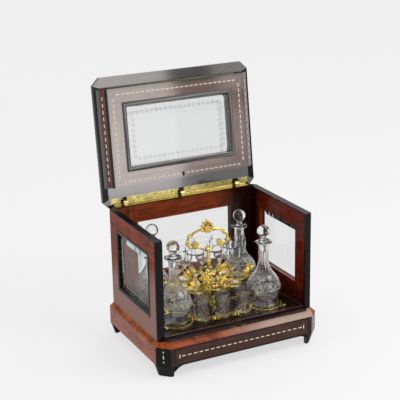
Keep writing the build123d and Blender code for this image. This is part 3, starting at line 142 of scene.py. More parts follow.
class TANTALUS_PG_finishes(bpy.types.PropertyGroup):
    ebony: colour("Ebony", "Ground of the ebonised wood", (0.012, 0.011, 0.012))
    rosewood: colour("Rosewood", "Ground of the flap and the plinth frieze", (0.15, 0.05, 0.032))
    mahogany: colour("Mahogany", "Ground of the walls", (0.22, 0.036, 0.010))
    burr: colour("Burr", "Ground of the plinth moulding and sides", (0.40, 0.072, 0.012))
    lining: colour("Lining", "Ground of the floor and the tray", (0.014, 0.008, 0.007))
    brass: colour("Brass", "Hinges and lock", (0.55, 0.46, 0.17))
    gilt: colour("Gilt", "The gilt stand", (0.95, 0.72, 0.19))
    bone: colour("Bone", "The inlaid dashes", (0.93, 0.86, 0.72))
    pane: colour("Pane", "Tint of the flat glass", (0.89, 0.895, 0.895))
    bevel: colour("Bevel", "Tint of the thick edge of the wall panes", (0.42, 0.70, 0.56))
    crystal: colour("Crystal", "Tint of the cut glass", (0.99, 0.995, 0.995))


class TANTALUS_PG_inlay(bpy.types.PropertyGroup):
    dash_length: length("Dash length", "Length of one bone dash", 7.2)
    dash_width: length("Dash width", "Width of one bone dash", 1.8)
    dash_proud: length("Proud", "How far the bone stands above the veneer", 0.12)
    flap_pitch: length("Flap pitch", "Distance between dashes round the flap", 10.5)
    frieze_pitch: length("Frieze pitch", "Distance between dashes along the plinth", 11.4)
    flap_line_x: length("Flap line across", "Middle of the flap to its upright lines", 131.5)
    flap_line_low: length("Flap line low", "Height of the lower line, flap closed", 72.4)
    flap_line_high: length("Flap line high", "Height of the upper line, flap closed", 237.5)


class TANTALUS_PG_panes(bpy.types.PropertyGroup):
    bevel_width: length("Bevel width", "Width of the ground bevel", 12.0)
    leaf_shown: length("Leaf shown", "Width of the brass that is seen on the lid's hinge leaf", 12.8)
    cut_pitch: length("Cut pitch", "Distance between the olive cuts along the bevel", 10.0)
    cut_width: length("Cut width", "Half width of one olive cut", 5.1)
    cut_length: length("Cut length", "Half length of one olive cut", 4.4)
    cut_depth: length("Cut depth", "Depth of one olive cut", 1.1)
    reeds: number("Reeds", "Ridges of the moulding round the flap's glass", 3, 2, 8)
    reed_height: length("Reed height", "Height of one ridge", 1.2)


class TANTALUS_PG_vessels(bpy.types.PropertyGroup):
    facets: number("Facets", "Flutes cut round a decanter and a stemmed glass", 12, 6, 24)
    steps: number("Steps", "Steps of a decanter's turning", 96, 48, 192)
    flute_depth: length("Flute depth", "Depth of the flutes on neck and shoulder", 0.5)
    facet_depth: length("Facet depth", "Depth of the facets on the tumblers", 1.3)
    lip_wave: length("Lip wave", "Rise and fall of a decanter's lip", 1.3)


class TANTALUS_PG_ornament(bpy.types.PropertyGroup):
    petals: number("Petals", "Petals in the outer ring of a rosette", 7, 5, 14)
    leaf_thick: length("Leaf thickness", "Thickness of the cast leaves", 0.8)
    bar_radius: length("Handle bar", "Radius of the handle's bar", 2.2)


class TANTALUS_PG_stage(bpy.types.PropertyGroup):
    floor_size: FloatProperty(name="Floor", description="Side of the floor", default=40.0, unit="LENGTH")
    floor_glow: factor("Floor glow", "Share of the floor's paleness that is its own", 0.745)
    paper: colour("Paper", "Colour of the floor and background", (0.87, 0.87, 0.875))
    room_level: factor("Room", "Level of the room on the camera's side", 0.25)
    backdrop_level: level("Backdrop", "Level of the room behind and above", 1.045)
    key_level: level("Key", "Level of the overhead softbox", 4.5)
    spark_level: level("Spark", "Level of the small softbox", 14.0)
    lid_level: level("Low softbox", "Level of the low front softbox", 2.4)
    lens: FloatProperty(name="Lens", description="Focal length of the camera", default=97.63, unit="CAMERA")


GROUPS = {"finishes": TANTALUS_PG_finishes, "inlay": TANTALUS_PG_inlay, "panes": TANTALUS_PG_panes,
          "vessels": TANTALUS_PG_vessels, "ornament": TANTALUS_PG_ornament, "stage": TANTALUS_PG_stage}


def wanted(group):
    """The scene's settings of one group."""
    return getattr(bpy.context.scene, "tantalus_" + group)


def mm(value):
    return value / MM


# --- Bench work -------------------------------------------------------------------------
def at(x, y, z):
    return Matrix.Translation((x * MM, y * MM, z * MM))


def turn(degrees, axis):
    return Matrix.Rotation(radians(degrees), 4, axis)


def sized(share):
    return Matrix.Scale(share, 4)


def about_x(y, z, degrees):
    """A turn about a line along X, through a point in millimetres."""
    return at(0, y, z) @ turn(degrees, "X") @ at(0, -y, -z)


OPENED = about_x(HINGE_Y, HINGE_Z, -LID_OPEN)
FOLDED = OPENED @ about_x(FLAP_INNER_Y, FLAP_AXIS_Z, 90)
FLAP_GLASS = FOLDED @ at(0, FLAP_FRONT_Y, FLAP_MIDDLE_Z) @ turn(90, "X")
STAND = at(STAND_X, STAND_Y, 0) @ turn(STAND_TURN, "Z")


def clear_selection():
    if bpy.context.mode != "OBJECT":
        bpy.ops.object.mode_set(mode="OBJECT")
    bpy.ops.object.select_all(action="DESELECT")


def take(*pieces):
    """Select these pieces alone."""
    clear_selection()
    for piece in pieces:
        piece.select_set(True)
    bpy.context.view_layer.objects.active = pieces[0]


def edit(piece, kind="FACE"):
    take(piece)
    bpy.ops.object.mode_set(mode="EDIT")
    bpy.ops.mesh.select_mode(type=kind)
    bpy.ops.mesh.select_all(action="SELECT")


def pick(piece, kind, test):
    """In edit mode, select the faces or the edges that pass a test."""
    mesh = bmesh.from_edit_mesh(piece.data)
    for part in getattr(mesh, kind):
        part.select_set(bool(test(part)))
    mesh.select_flush_mode()
    bmesh.update_edit_mesh(piece.data)


def done():
    bpy.ops.object.mode_set(mode="OBJECT")
    return bpy.context.object


def new_piece(name):
    piece = bpy.context.object
    piece.name = piece.data.name = name
    bpy.ops.object.transform_apply(location=True, rotation=True, scale=True)
    return piece


def moved(piece, place):
    """Put a piece in its place, with the place in its mesh."""
    take(piece)
    piece.matrix_world = place
    bpy.ops.object.transform_apply(location=True, rotation=True, scale=True)
    return piece


def block(name, low, high):
    """A block between two corners, in millimetres."""
    clear_selection()
    middle = [(a + b) / 2 * MM for a, b in zip(low, high)]
    size = [(b - a) * MM for a, b in zip(low, high)]
    bpy.ops.mesh.primitive_cube_add(size=1, location=middle, scale=size)
    return new_piece(name)


def ball(name, place, size, segments=16, rings=10):
    clear_selection()
    bpy.ops.mesh.primitive_uv_sphere_add(segments=segments, ring_count=rings, radius=1,
                                         location=[v * MM for v in place], scale=[v * MM for v in size])
    return new_piece(name)


def modify(piece, kind, **settings):
    """Add one modifier and apply it."""
    take(piece)
    bpy.ops.object.modifier_add(type=kind)
    modifier = piece.modifiers[-1]
    for key, value in settings.items():
        setattr(modifier, key, value)
    bpy.ops.object.modifier_apply(modifier=modifier.name)
    return piece


def carved(piece, tool, operation="DIFFERENCE", crossing=False):
    """Cut a piece by a tool, which then goes; crossing is for a tool whose own parts overlap."""
    modify(piece, "BOOLEAN", operation=operation, object=tool, solver="EXACT", use_self=crossing)
    bpy.data.objects.remove(tool)
    return piece


def row_of(piece, count, step):
    """Repeat a piece in a row, with a step in millimetres."""
    return modify(piece, "ARRAY", count=count, use_relative_offset=False, use_constant_offset=True,
                  constant_offset_displace=[v * MM for v in step])


def copied(piece, name, place):
    """A copy with its own mesh, moved by a matrix."""
    take(piece)
    bpy.ops.object.duplicate(linked=False)
    copy = bpy.context.object
    copy.name = copy.data.name = name
    return moved(copy, place)


def joined(name, pieces):
    take(*pieces)
    if len(pieces) > 1:
        bpy.ops.object.join()
    piece = bpy.context.object
    piece.name = piece.data.name = name
    return piece


def copies(name, piece, places):
    """Copies of one piece at many places, as one piece; the first one goes."""
    whole = joined(name, [copied(piece, name + "_part", place) for place in places])
    bpy.data.objects.remove(piece)
    return whole


def turned(name, profile, steps):
    """A piece turned about Z, from (radius, height) points in millimetres."""
    clear_selection()
    bpy.ops.mesh.primitive_plane_add(size=MM)
    edit(bpy.context.object, "VERT")
    bpy.ops.mesh.merge(type="CENTER")
    bpy.ops.transform.translate(value=(profile[0][0] * MM, 0, profile[0][1] * MM))
    for before, after in zip(profile, profile[1:]):
        step = ((after[0] - before[0]) * MM, 0, (after[1] - before[1]) * MM)
        bpy.ops.mesh.extrude_region_move(TRANSFORM_OT_translate={"value": step})
    bpy.ops.mesh.select_all(action="SELECT")
    bpy.ops.mesh.spin(steps=steps, angle=2 * pi, center=(0, 0, 0), axis=(0, 0, 1))
    closed_up()
    done()
    return new_piece(name)


def closed_up():
    """Merge the doubles of the mesh in edit mode and turn its faces outwards."""
    bpy.ops.mesh.select_all(action="SELECT")
    bpy.ops.mesh.remove_doubles(threshold=0.00001)
    bpy.ops.mesh.select_all(action="SELECT")
    bpy.ops.mesh.normals_make_consistent(inside=False)


def arc(start, through, end, count):
    """Points of the arc through three points, without its start."""
    (ax, ay), (bx, by), (cx, cy) = start, through, end
    d = 2 * (ax * (by - cy) + bx * (cy - ay) + cx * (ay - by))
    a2, b2, c2 = ax * ax + ay * ay, bx * bx + by * by, cx * cx + cy * cy
    mx = (a2 * (by - cy) + b2 * (cy - ay) + c2 * (ay - by)) / d
    my = (a2 * (cx - bx) + b2 * (ax - cx) + c2 * (bx - ax)) / d
    first, middle, last = (atan2(y - my, x - mx) for x, y in (start, through, end))
    sweep = (last - first) % (2 * pi)
    if (middle - first) % (2 * pi) > sweep:
        sweep -= 2 * pi
    reach = hypot(ax - mx, ay - my)
    return [(mx + reach * cos(first + sweep * i / count), my + reach * sin(first + sweep * i / count))
            for i in range(1, count + 1)]


def shape_points(piece, change):
    """Move each point of a mesh by a rule, in millimetres."""
    for point in piece.data.vertices:
        point.co = Vector(change(*(point.co / MM))) * MM
    piece.data.update()
    return piece


def hill(value, low, high, soft=2.0):
    """1 between two marks, and down to 0 over a soft margin outside them."""
    away = max(low - value, value - high, 0.0)
    return max(0.0, 1.0 - away / soft)


def number_faces(piece, test):
    """Give the second finish to the faces that pass a test, and the first to the others."""
    for face in piece.data.polygons:
        face.material_index = int(test(face))


def finished(piece, name, body, material, stands_for=(), smooth=35):
    """Name a piece, give it its finish and say what carries it."""
    if not piece.data.polygons:
        raise RuntimeError(name + " has no faces")
    take(piece)
    bpy.ops.object.transform_apply(location=True, rotation=True, scale=True)
    bpy.ops.object.shade_smooth_by_angle(angle=radians(smooth))
    piece.name = piece.data.name = name
    finishes = material if isinstance(material, tuple) else (material,)
    numbers = [face.material_index if len(finishes) > 1 else 0 for face in piece.data.polygons]
    piece.data.materials.clear()
    for finish in finishes:
        piece.data.materials.append(finish)
    piece.data.polygons.foreach_set("material_index", numbers)
    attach(piece, body)
    if stands_for:
        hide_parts(*stands_for)
    return piece


# --- Finishes ---------------------------------------------------------------------------
def shaded(base, share):
    return tuple(min(1.0, c * share) for c in base)


class Nodes:
    """A node tree that is filled from empty."""

    def __init__(self, tree):
        self.tree = tree
        self.tree.nodes.clear()

    def add(self, kind, inputs=None, **settings):
        node = self.tree.nodes.new("ShaderNode" + kind)
        for key, value in settings.items():
            setattr(node, key, value)
        for key, value in (inputs or {}).items():
            if isinstance(value, bpy.types.NodeSocket):
                self.tree.links.new(value, node.inputs[key])
            else:
                node.inputs[key].default_value = value
        return node

    def calc(self, operation, *values):
        return self.add("Math", dict(enumerate(values)), operation=operation).outputs[0]


class Finish(Nodes):
    """One material's nodes, with short names for the common ones."""

    def __init__(self, name, place=None):
        self.material = bpy.data.materials.new(name)
        self.material.use_nodes = True
        super().__init__(self.material.node_tree)
        self.place = self.add("TexCoord").outputs["Object"]
        if place is not None:
            move, rotation, _ = place.inverted().decompose()
            self.place = self.add("Mapping", {"Vector": self.place, "Location": move,
                                              "Rotation": rotation.to_euler()}).outputs[0]
        self.x, self.y, self.z = self.add("SeparateXYZ", {0: self.place}).outputs

    def off(self, value, mark=0.0):
        """How far a value is from a mark, in metres, without its sign."""
        return self.calc("ABSOLUTE", self.calc("SUBTRACT", value, mark * MM))

    def beyond(self, value, mark):
        """1 where a value is over a millimetre mark."""
        return self.calc("GREATER_THAN", value, mark * MM)

    def between(self, value, low, high):
        """1 where a value lies between two millimetre marks."""
        return self.calc("MULTIPLY", self.beyond(value, low), self.calc("LESS_THAN", value, high * MM))

    def oblong(self, half_x, low_z, high_z):
        """Distance outside an oblong in the XZ plane, negative inside it."""
        across = self.calc("SUBTRACT", self.off(self.x), half_x * MM)
        height = self.calc("SUBTRACT", self.off(self.z, (low_z + high_z) / 2), (high_z - low_z) / 2 * MM)
        return self.calc("MAXIMUM", across, height)

    def noise(self, scale, detail, distortion=0.0, stretch=(1, 1, 1)):
        where = self.add("Mapping", {"Vector": self.place, "Scale": stretch}).outputs[0]
        return self.add("TexNoise", {"Vector": where, "Scale": scale, "Detail": detail,
                                     "Distortion": distortion}).outputs["Fac"]

    def ramp(self, value, *stops):
        """Colours or shares by value, from (value, colour or share) stops."""
        node = self.add("ValToRGB", {0: value})
        while len(node.color_ramp.elements) < len(stops):
            node.color_ramp.elements.new(0.5)
        for element, (position, tone) in zip(node.color_ramp.elements, stops):
            element.position = position
            element.color = (*tone, 1) if isinstance(tone, tuple) else (tone, tone, tone, 1)
        return node.outputs[0]

    def blend(self, share, first, second, kind="MIX"):
        first, second = [(*v, 1) if isinstance(v, tuple) else v for v in (first, second)]
        node = self.add("Mix", {0: share, 6: first, 7: second}, data_type="RGBA", blend_type=kind)
        return node.outputs[2]

    def toned(self, tone, shade, share=1.0):
        return self.blend(share, tone, shade, "MULTIPLY")

    def either(self, share, first, second):
        return self.add("Mix", {0: share, 2: first, 3: second}).outputs[0]

    def spread(self, value, low, high):
        return self.add("MapRange", {"Value": value, "To Min": low, "To Max": high}).outputs[0]

    def bump(self, height, strength, distance=0.0003):
        return self.add("Bump", {"Height": height, "Strength": strength, "Distance": distance}).outputs[0]

    def principled(self, **inputs):
        inputs = {key.replace("_", " "): value for key, value in inputs.items()}
        return self.add("BsdfPrincipled", inputs).outputs[0]

    def made(self, shader):
        self.tree.links.new(shader, self.add("OutputMaterial").inputs["Surface"])
        return self.material

    def lit_through(self, glass, tint):
        """Finish a glass that lamps shine through."""
        clear = self.add("BsdfTransparent", {"Color": (*shaded(tint, 0.97), 1)}).outputs[0]
        shadow = self.add("LightPath").outputs["Is Shadow Ray"]
        return self.made(self.add("MixShader", {0: shadow, 1: glass, 2: clear}).outputs[0])

    def grain(self, along):
        """Long grain along one axis: its broad figure and its fine pores."""
        stretch = [1.0 if axis == along else 14.0 for axis in "XYZ"]
        fine = [2.0 if axis == along else 60.0 for axis in "XYZ"]
        return self.noise(9.0, 6.0, 1.4, stretch), self.noise(16.0, 3.0, stretch=fine)

    def wood(self, base, along, cloud=0.5, contrast=1.0, crossed=None, across=None):
        """A wood's colour and pores: grain along an axis, and along another where crossed."""
        figure, pores = self.grain(along)
        if crossed is not None:
            other, other_pores = self.grain(across)
            figure, pores = self.either(crossed, figure, other), self.either(crossed, pores, other_pores)
        tone = self.ramp(figure, (0.30, shaded(base, 1 - 0.66 * contrast)),
                         (0.46, shaded(base, 1 - 0.22 * contrast)), (0.56, base),
                         (0.72, shaded(base, 1 + 0.55 * contrast)))
        mottle = self.ramp(self.noise(38.0, 3.0, 1.2), (0.34, 1 - cloud), (0.60, 1.0))
        pitted = self.ramp(pores, (0.36, 0.5), (0.5, 1.0))
        return self.toned(self.toned(tone, mottle), pitted, 0.5 * contrast), pores

    def polished(self, tone, pores, rough=0.14, lacquer=0.0, gloss=1.45, relief=0.03):
        """French polish over a coloured ground, with small marks of use."""
        marks = self.noise(70.0, 5.0, 0.6)
        return self.made(self.principled(
            Base_Color=tone, Roughness=self.spread(marks, rough - 0.05, rough + 0.08), IOR=gloss,
            Coat_Weight=lacquer, Coat_Roughness=0.09, Coat_IOR=2.0, Normal=self.bump(pores, relief)))


def make_ebonies(tones):
    """The black polish of the case, of the reeded moulding and of the lid."""
    ebony = tuple(tones.ebony)
    plain, reeds, lid = Finish("ebonised_wood"), Finish("polished_reeds"), Finish("lid_ebonised_wood", OPENED)
    tone, pores = lid.wood(ebony, "X", 0.3, 0.8)
    # The polish on the lid has gone purple in patches.
    purple = lid.ramp(lid.noise(9.0, 4.0, 1.0, (1, 1.6, 1)), (0.46, 0.0), (0.64, 1.0))
    tone = lid.blend(purple, tone, (0.045, 0.018, 0.024))
    black, fine = plain.wood(shaded(ebony, 0.5), "X", 0.2, 0.5)
    return {
        "ebony": plain.polished(black, fine, 0.16, gloss=1.25, relief=0.004),
        "reeds": reeds.polished(*reeds.wood(shaded(ebony, 0.3), "X", 0.2, 0.5), 0.12, lacquer=0.5),
        "lid_ebony": lid.polished(tone, pores, 0.26, lacquer=1.0),
    }


def make_plinth_veneer(tones):
    """A banded frieze in front and behind, and plain burr at the sides."""
    f = Finish("plinth_veneer")
    red, pores = f.wood(tuple(tones.rosewood), "X", 0.35, 1.0)
    black, _ = f.wood(tuple(tones.ebony), "X", 0.2, 0.5)
    side, _ = f.wood(tuple(tones.burr), "Y", 0.5, 0.7)
    outside = f.oblong(134.0, BOARDS[0] + 4.5, BOARDS[1] - 4.0)
    front = f.blend(f.beyond(outside, 0.0), f.blend(0.45, red, black), f.blend(0.8, red, black))
    front = f.blend(f.between(outside, -0.9, 0.0), front, (0.1, 0.035, 0.02))
    return f.polished(f.blend(f.beyond(f.off(f.x), PLINTH_SIDE), front, side), pores, 0.2, gloss=1.3)


def make_moulding(tones):
    """The plinth's moulding: burr in front and behind, with a painted sheen towards the right of the front,
    and brighter at the sides.
    """
    f = Finish("burr_moulding")
    tone, pores = f.wood(shaded(tones.burr, 0.95), "X", 0.6, 0.7)
    sides, _ = f.wood((0.52, 0.12, 0.012), "Y", 0.75, 0.9)
    # Along the front, a painted sheen turns the burr pale towards the right.
    along = f.calc("DIVIDE", f.calc("ADD", f.x, 0.1), 0.2)
    ahead = f.beyond(f.calc("MULTIPLY", f.y, -1.0), 0.0)
    pale = f.calc("MULTIPLY", f.ramp(along, (0.25, 0.0), (0.8, 0.9)), ahead)
    front = f.blend(pale, tone, (0.46, 0.33, 0.27))
    return f.polished(f.blend(f.beyond(f.off(f.x), PLINTH_SIDE), front, sides), pores, 0.2, gloss=1.2)


def make_flap_veneer(tones):
    """Rosewood inside an ebonised band that carries the bone line."""
    f = Finish("flap_veneer", FOLDED)
    inlay, rosewood = wanted("inlay"), tuple(tones.rosewood)
    stile = f.beyond(f.off(f.x), FLAP_SIGHT_X + FLAP_BEAD)
    red, pores = f.wood(rosewood, "X", 0.3, 0.9, stile, "Z")
    black, _ = f.wood(tuple(tones.ebony), "X", 0.2, 0.5)
    line = f.oblong(mm(inlay.flap_line_x), mm(inlay.flap_line_low), mm(inlay.flap_line_high))
    tone = f.blend(f.between(f.off(line), 0.0, 2.6), red, shaded(rosewood, 0.3))
    tone = f.blend(f.between(f.off(line), 2.6, 3.2), tone, (0.30, 0.17, 0.10))
    return f.polished(f.blend(f.beyond(line, 7.6), tone, black), pores, 0.3, lacquer=1.0)


def make_post_veneer(tones):
    """The flap's posts: a red band with two pale lines, black beside it, and a grey painted sheen at the
    outer edge.
    """
    f = Finish("corner_post_veneer", FOLDED)
    red, pores = f.wood(tuple(tones.rosewood), "Z", 0.3, 0.9)
    black, _ = f.wood(tuple(tones.ebony), "Z", 0.2, 0.5)
    middle, half = 150.0, 4.0
    tone = f.blend(f.between(f.off(f.x), middle - half, middle + half), black, red)
    stringing = f.between(f.off(f.off(f.x), middle), 2.6, 3.1)
    tone = f.blend(stringing, tone, (0.24, 0.13, 0.08))
    # The grey outer strip is a painted sheen on the ebonised wood.
    outer = f.beyond(f.off(f.x), middle + half)
    return f.polished(f.blend(outer, tone, (0.15, 0.14, 0.14)), pores, 0.2)


def make_side_mahogany(tones):
    """The side walls: painted shade inside towards the back and the floor; outside, painted brighter, with a
    pale painted reflection of the floor below a slanting line.
    """
    f = Finish("side_mahogany")
    rail = f.beyond(f.off(f.z, WALL_MIDDLE_Z), WALL_HALF_Z)
    tone, pores = f.wood(tuple(tones.mahogany), "Z", 0.45, 0.8, rail, "Y")
    # Painted shade inside: darker towards the back corner and towards the floor.
    corner = f.ramp(f.calc("DIVIDE", f.y, 0.2), (0.33, 1.0), (0.42, 0.12))
    foot = f.ramp(f.calc("DIVIDE", f.z, 0.3), (0.29, 0.45), (0.36, 1.0))
    painted_shade_inside = f.toned(tone, f.toned(f.calc("MULTIPLY", corner, foot), (0.9, 0.62, 0.6)))
    # Outside, the wood is painted brighter and warmer, and a pale painted reflection of the floor lies below
    # a slanting line.
    slant = f.calc("MULTIPLY_ADD", f.y, 0.23, f.z)
    painted_floor_reflection = f.ramp(f.calc("MULTIPLY", slant, 5.0), (0.70, 0.72), (0.90, 0.0))
    without = f.blend(painted_floor_reflection, f.toned(tone, (1.35, 1.1, 0.8)), (0.33, 0.20, 0.165))
    inside = f.calc("LESS_THAN", f.off(f.x), WALL_INNER * MM)
    return f.polished(f.blend(inside, without, painted_shade_inside), pores, 0.16, gloss=1.13)


def make_back_mahogany():
    """The back wall, with painted shade that darkens it to the right."""
    f = Finish("back_mahogany")
    tone, pores = f.wood((0.27, 0.040, 0.005), "X", 0.3, 1.0, f.beyond(f.off(f.x), BACK_SIGHT), "Z")
    # Painted shade towards the right-hand back corner.
    shade = f.ramp(f.calc("DIVIDE", f.x, 0.2), (0.30, 1.0), (0.56, 0.1))
    return f.polished(f.toned(tone, shade), pores, 0.2, gloss=1.25)


def make_post_mahogany(tones):
    f = Finish("post_mahogany")
    # Mahogany at a tenth of its brightness: painted shade for the dark corners of the case.
    return f.polished(*f.wood(shaded(tones.mahogany, 0.1), "Z", 0.3, 0.8), 0.2, gloss=1.25)


def make_linings(tones):
    """The floor, and the tray with a redder lip."""
    floor, tray = Finish("floor_lining"), Finish("tray_lining")
    tone, pores = tray.wood(tuple(tones.lining), "X", 0.3, 0.7)
    tone = tray.blend(tray.beyond(tray.z, TRAY_TOP + 1.2), tone, (0.075, 0.028, 0.022))
    return {"lining": floor.polished(*floor.wood(shaded(tones.lining, 4.0), "X", 0.3, 0.7), 0.16),
            "tray_lining": tray.polished(tone, pores, 0.12)}


def make_metal(name, tone, metallic, rough):
    """Worn metal with tarnished patches and fine scratches."""
    f = Finish("worn_" + name)
    tarnish = f.noise(120.0, 5.0, 0.5)
    dull = f.blend(f.ramp(tarnish, (0.42, 0.0), (0.72, 1.0)), tone, shaded(tone, 0.6))
    scratches = f.noise(300.0, 3.0, stretch=(1, 14, 14))
    return f.made(f.principled(
        Base_Color=dull, Metallic=metallic, Roughness=f.spread(tarnish, rough, rough + 0.2),
        Normal=f.bump(scratches, 0.12, 0.0002)))


def make_bone(tones):
    """Bone with fine darker specks."""
    f = Finish("bone_inlay")
    bone = tuple(tones.bone)
    specks = f.noise(400.0, 3.0)
    return f.polished(f.blend(f.ramp(specks, (0.35, 0.0), (0.6, 1.0)), shaded(bone, 0.8), bone), specks, 0.25)


def make_glass(name, tint, wave_scale, wave_strength, bending=1.5):
    """Clear, slightly wavy glass."""
    f = Finish(name)
    waves = f.noise(wave_scale, 2.0)
    glass = f.principled(Base_Color=(*tint, 1), Transmission_Weight=1.0, Roughness=0.0, IOR=bending,
                         Normal=f.bump(waves, wave_strength, 0.0004))
    return f.lit_through(glass, tint)


def make_engraved(name, tint, band, frost):
    """Cut glass with ground, whitish engraving between two heights."""
    f = Finish(name)
    waves = f.noise(90.0, 2.0)
    leaves = f.ramp(f.noise(170.0, 2.0, 2.2), (0.50, 0.0), (0.56, 1.0))
    ground = f.calc("MULTIPLY", leaves, f.between(f.z, *band))
    glass = f.principled(Base_Color=(*tint, 1), Transmission_Weight=f.spread(ground, 1.0, 1.0 - frost),
                         Roughness=f.spread(ground, 0.0, 0.35), IOR=1.5, Normal=f.bump(waves, 0.04, 0.0004))
    return f.lit_through(glass, tint)


def make_speckled(name, scale, low, high, rough, **others):
    """A finish that wanders between two colours, given as (value, colour) stops."""
    f = Finish(name)
    grit = f.noise(scale, 3.0)
    tone, roughness = f.ramp(grit, low, high), f.spread(grit, *rough)
    return f.made(f.principled(Base_Color=tone, Roughness=roughness, **others))


def make_finishes(tones):
    crystal, brass = tuple(tones.crystal), tuple(tones.brass)
    FINISHES.update(make_ebonies(tones))
    FINISHES.update(make_linings(tones))
    FINISHES.update({
        "plinth_boards": make_plinth_veneer(tones), "moulding": make_moulding(tones),
        "rosewood": make_flap_veneer(tones), "corner_posts": make_post_veneer(tones),
        "side_mahogany": make_side_mahogany(tones), "back_mahogany": make_back_mahogany(),
        "post_mahogany": make_post_mahogany(tones), "bone": make_bone(tones),
        "brass": make_metal("brass", brass, 1.0, 0.2),
        "gilt": make_metal("gilt", tuple(tones.gilt), 0.88, 0.10),
        # Brass at a quarter of its brightness; behind the rosettes it is painted shade.
        "aged_brass": make_metal("aged_brass", shaded(brass, 0.25), 1.0, 0.25),
        # Black for the keyhole's plate, painted shade for the dark hole.
        "iron": make_speckled("blackened_iron", 500.0, (0.3, (0.006, 0.006, 0.006)),
                              (0.7, (0.014, 0.013, 0.012)), (0.45, 0.7), IOR=1.3),
        # Grey on the olive cuts: a frosted ground, and painted shading in place of the refraction that the
        # weakly bending panes lack.
        "ground": make_speckled("ground_cuts", 260.0, (0.35, (0.62, 0.65, 0.65)), (0.62, (0.84, 0.86, 0.86)),
                                (0.12, 0.2), Transmission_Weight=0.9, IOR=1.25),
        "pane": make_glass("pane_glass", tuple(tones.pane), 40.0, 0.03, 1.2),
        "wall_pane": make_glass("wall_pane_glass", (0.86, 0.865, 0.86), 40.0, 0.03, 1.22),
        "bevel": make_glass("bevel_glass", tuple(tones.bevel), 40.0, 0.03),
        "crystal": make_glass("plain_crystal", crystal, 90.0, 0.04),
        "decanter": make_engraved("decanter_crystal", crystal, (103.0, 130.0), 0.2),
        "tumbler": make_glass("tumbler_crystal", crystal, 90.0, 0.02),
        "stemmed_glass": make_glass("liqueur_crystal", crystal, 90.0, 0.02, 1.3),
    })


class TantalusOperator(bpy.types.Operator):
    """Shared start of the cabinet's operators"""
    bl_options = {"REGISTER", "UNDO"}
    needs_finishes = True

    def execute(self, context):
        clear_selection()
        if self.needs_finishes and not FINISHES:
            raise RuntimeError("the finishes are made first")
        self.work()
        clear_selection()
        return {"FINISHED"}


class TANTALUS_OT_finishes(TantalusOperator):
    """Make every finish and give the carried-over parts theirs"""
    bl_idname = "tantalus.finishes"
    bl_label = "Finish Carried Parts"
    needs_finishes = False

    def work(self):
        make_finishes(wanted("finishes"))
        for name, node in NODES.items():
            finish = FINISH_OF.get(name, "pane" if "pane" in name else "crystal")
            node.data.materials.clear()
            node.data.materials.append(FINISHES[finish])


# --- Eased edges and small brass --------------------------------------------------------
# Node: body, slot, width of the ease, and whether only edges that look outwards are eased.
EASED = {"lid_moulding": ("lid", "ebonised", 1.3, True), "wall_lippings": ("case", "ebonised", 0.6, False),
         "plinth_moulding": ("case", "polished_moulding", 0.6, True),
         "bracket_feet": ("case", "ebonised", 0.6, False),
         "plinth_corner_blocks": ("case", "ebonised", 0.4, True)}


def merge_flat_faces(piece):
    """Merge the flat faces that wear one finish, and stay in edit mode."""
    edit(piece)
    bpy.ops.mesh.remove_doubles(threshold=0.00002)
    bpy.ops.mesh.select_all(action="DESELECT")
    bpy.ops.mesh.select_interior_faces()
    bpy.ops.mesh.delete(type="FACE")
    bpy.ops.mesh.select_all(action="SELECT")
    bpy.ops.mesh.dissolve_limited(angle_limit=radians(1.0), delimit={"MATERIAL"})
    closed_up()


def ease_edges(piece, width, outer):
    """Bevel the sharp edges, or only those that look away from the piece's middle."""
    middle = sum((Vector(corner) for corner in piece.bound_box), Vector()) / 8

    def sharp(edge):
        if len(edge.link_faces) != 2 or edge.calc_face_angle(0.0) < radians(32):
            return False
        way = (edge.verts[0].co + edge.verts[1].co) / 2 - middle
        return not outer or all(face.normal.dot(way) > 0.0005 for face in edge.link_faces)
    bpy.ops.mesh.select_mode(type="EDGE")
    pick(piece, "edges", sharp)
    bpy.ops.mesh.bevel(offset=width * MM, segments=2, affect="EDGES", clamp_overlap=True)
    done()


class TANTALUS_OT_eased(TantalusOperator):
    """Ease the sharp edges of the mouldings, lippings, feet and corner blocks"""
    bl_idname = "tantalus.eased"
    bl_label = "Ease Edges"

    def work(self):
        under = (OPENED.to_3x3() @ Vector((0, 0, -1))).normalized()
        for name, (body, slot, width, outer) in EASED.items():
            piece = copied(NODES[name], name + "_eased", Matrix())
            finish = FINISHES[FINISH_OF[name]]
            # The lid's moulding wears the lid's polish only underneath, away from its ends; its other faces
            # wear the darker, duller ebony, a painted shade along the lid's edges.
            two_finishes = name == "lid_moulding"
            if two_finishes:
                finish = (finish, FINISHES["ebony"])
                for extra in finish:
                    piece.data.materials.append(extra)
                number_faces(piece, lambda face: abs(face.center.x) > LID_MOULDING_SIDE * MM)
            merge_flat_faces(piece)
            ease_edges(piece, width, outer)
            if two_finishes:
                number_faces(piece, lambda face: face.material_index or face.normal.dot(under) < 0.99)
            finished(piece, name + "_eased", body, finish, [name], 18)


def show_lid_leaf():
    """Show the lid's hinge leaf beside its axis, and cover the rest with an ebonised strip."""
    shown = mm(wanted("panes").leaf_shown)
    edge = at(0, HINGE_Y - shown, 0)
    brass = copied(NODES["lid_hinge_leaf"], "lid_leaf", OPENED.inverted())
    levels = [v.co.z / MM for v in brass.data.vertices if v.co.y < (HINGE_Y - 15) * MM]
    end = max(v.co.x for v in brass.data.vertices) / MM
    carved(brass, moved(block("kept", (-200, 0, 200), (200, 60, 300)), edge), "INTERSECT")
    moved(brass, OPENED)
    finished(brass, "lid_leaf_shown", "lid", FINISHES["brass"], ["lid_hinge_leaf"], 12)
    strip = moved(block("strip", (-end, shown - LEAF_WIDTH, min(levels)), (end, 0, max(levels))), edge)
    finished(moved(strip, OPENED), "lid_leaf_cover", "lid", FINISHES["lid_ebony"])


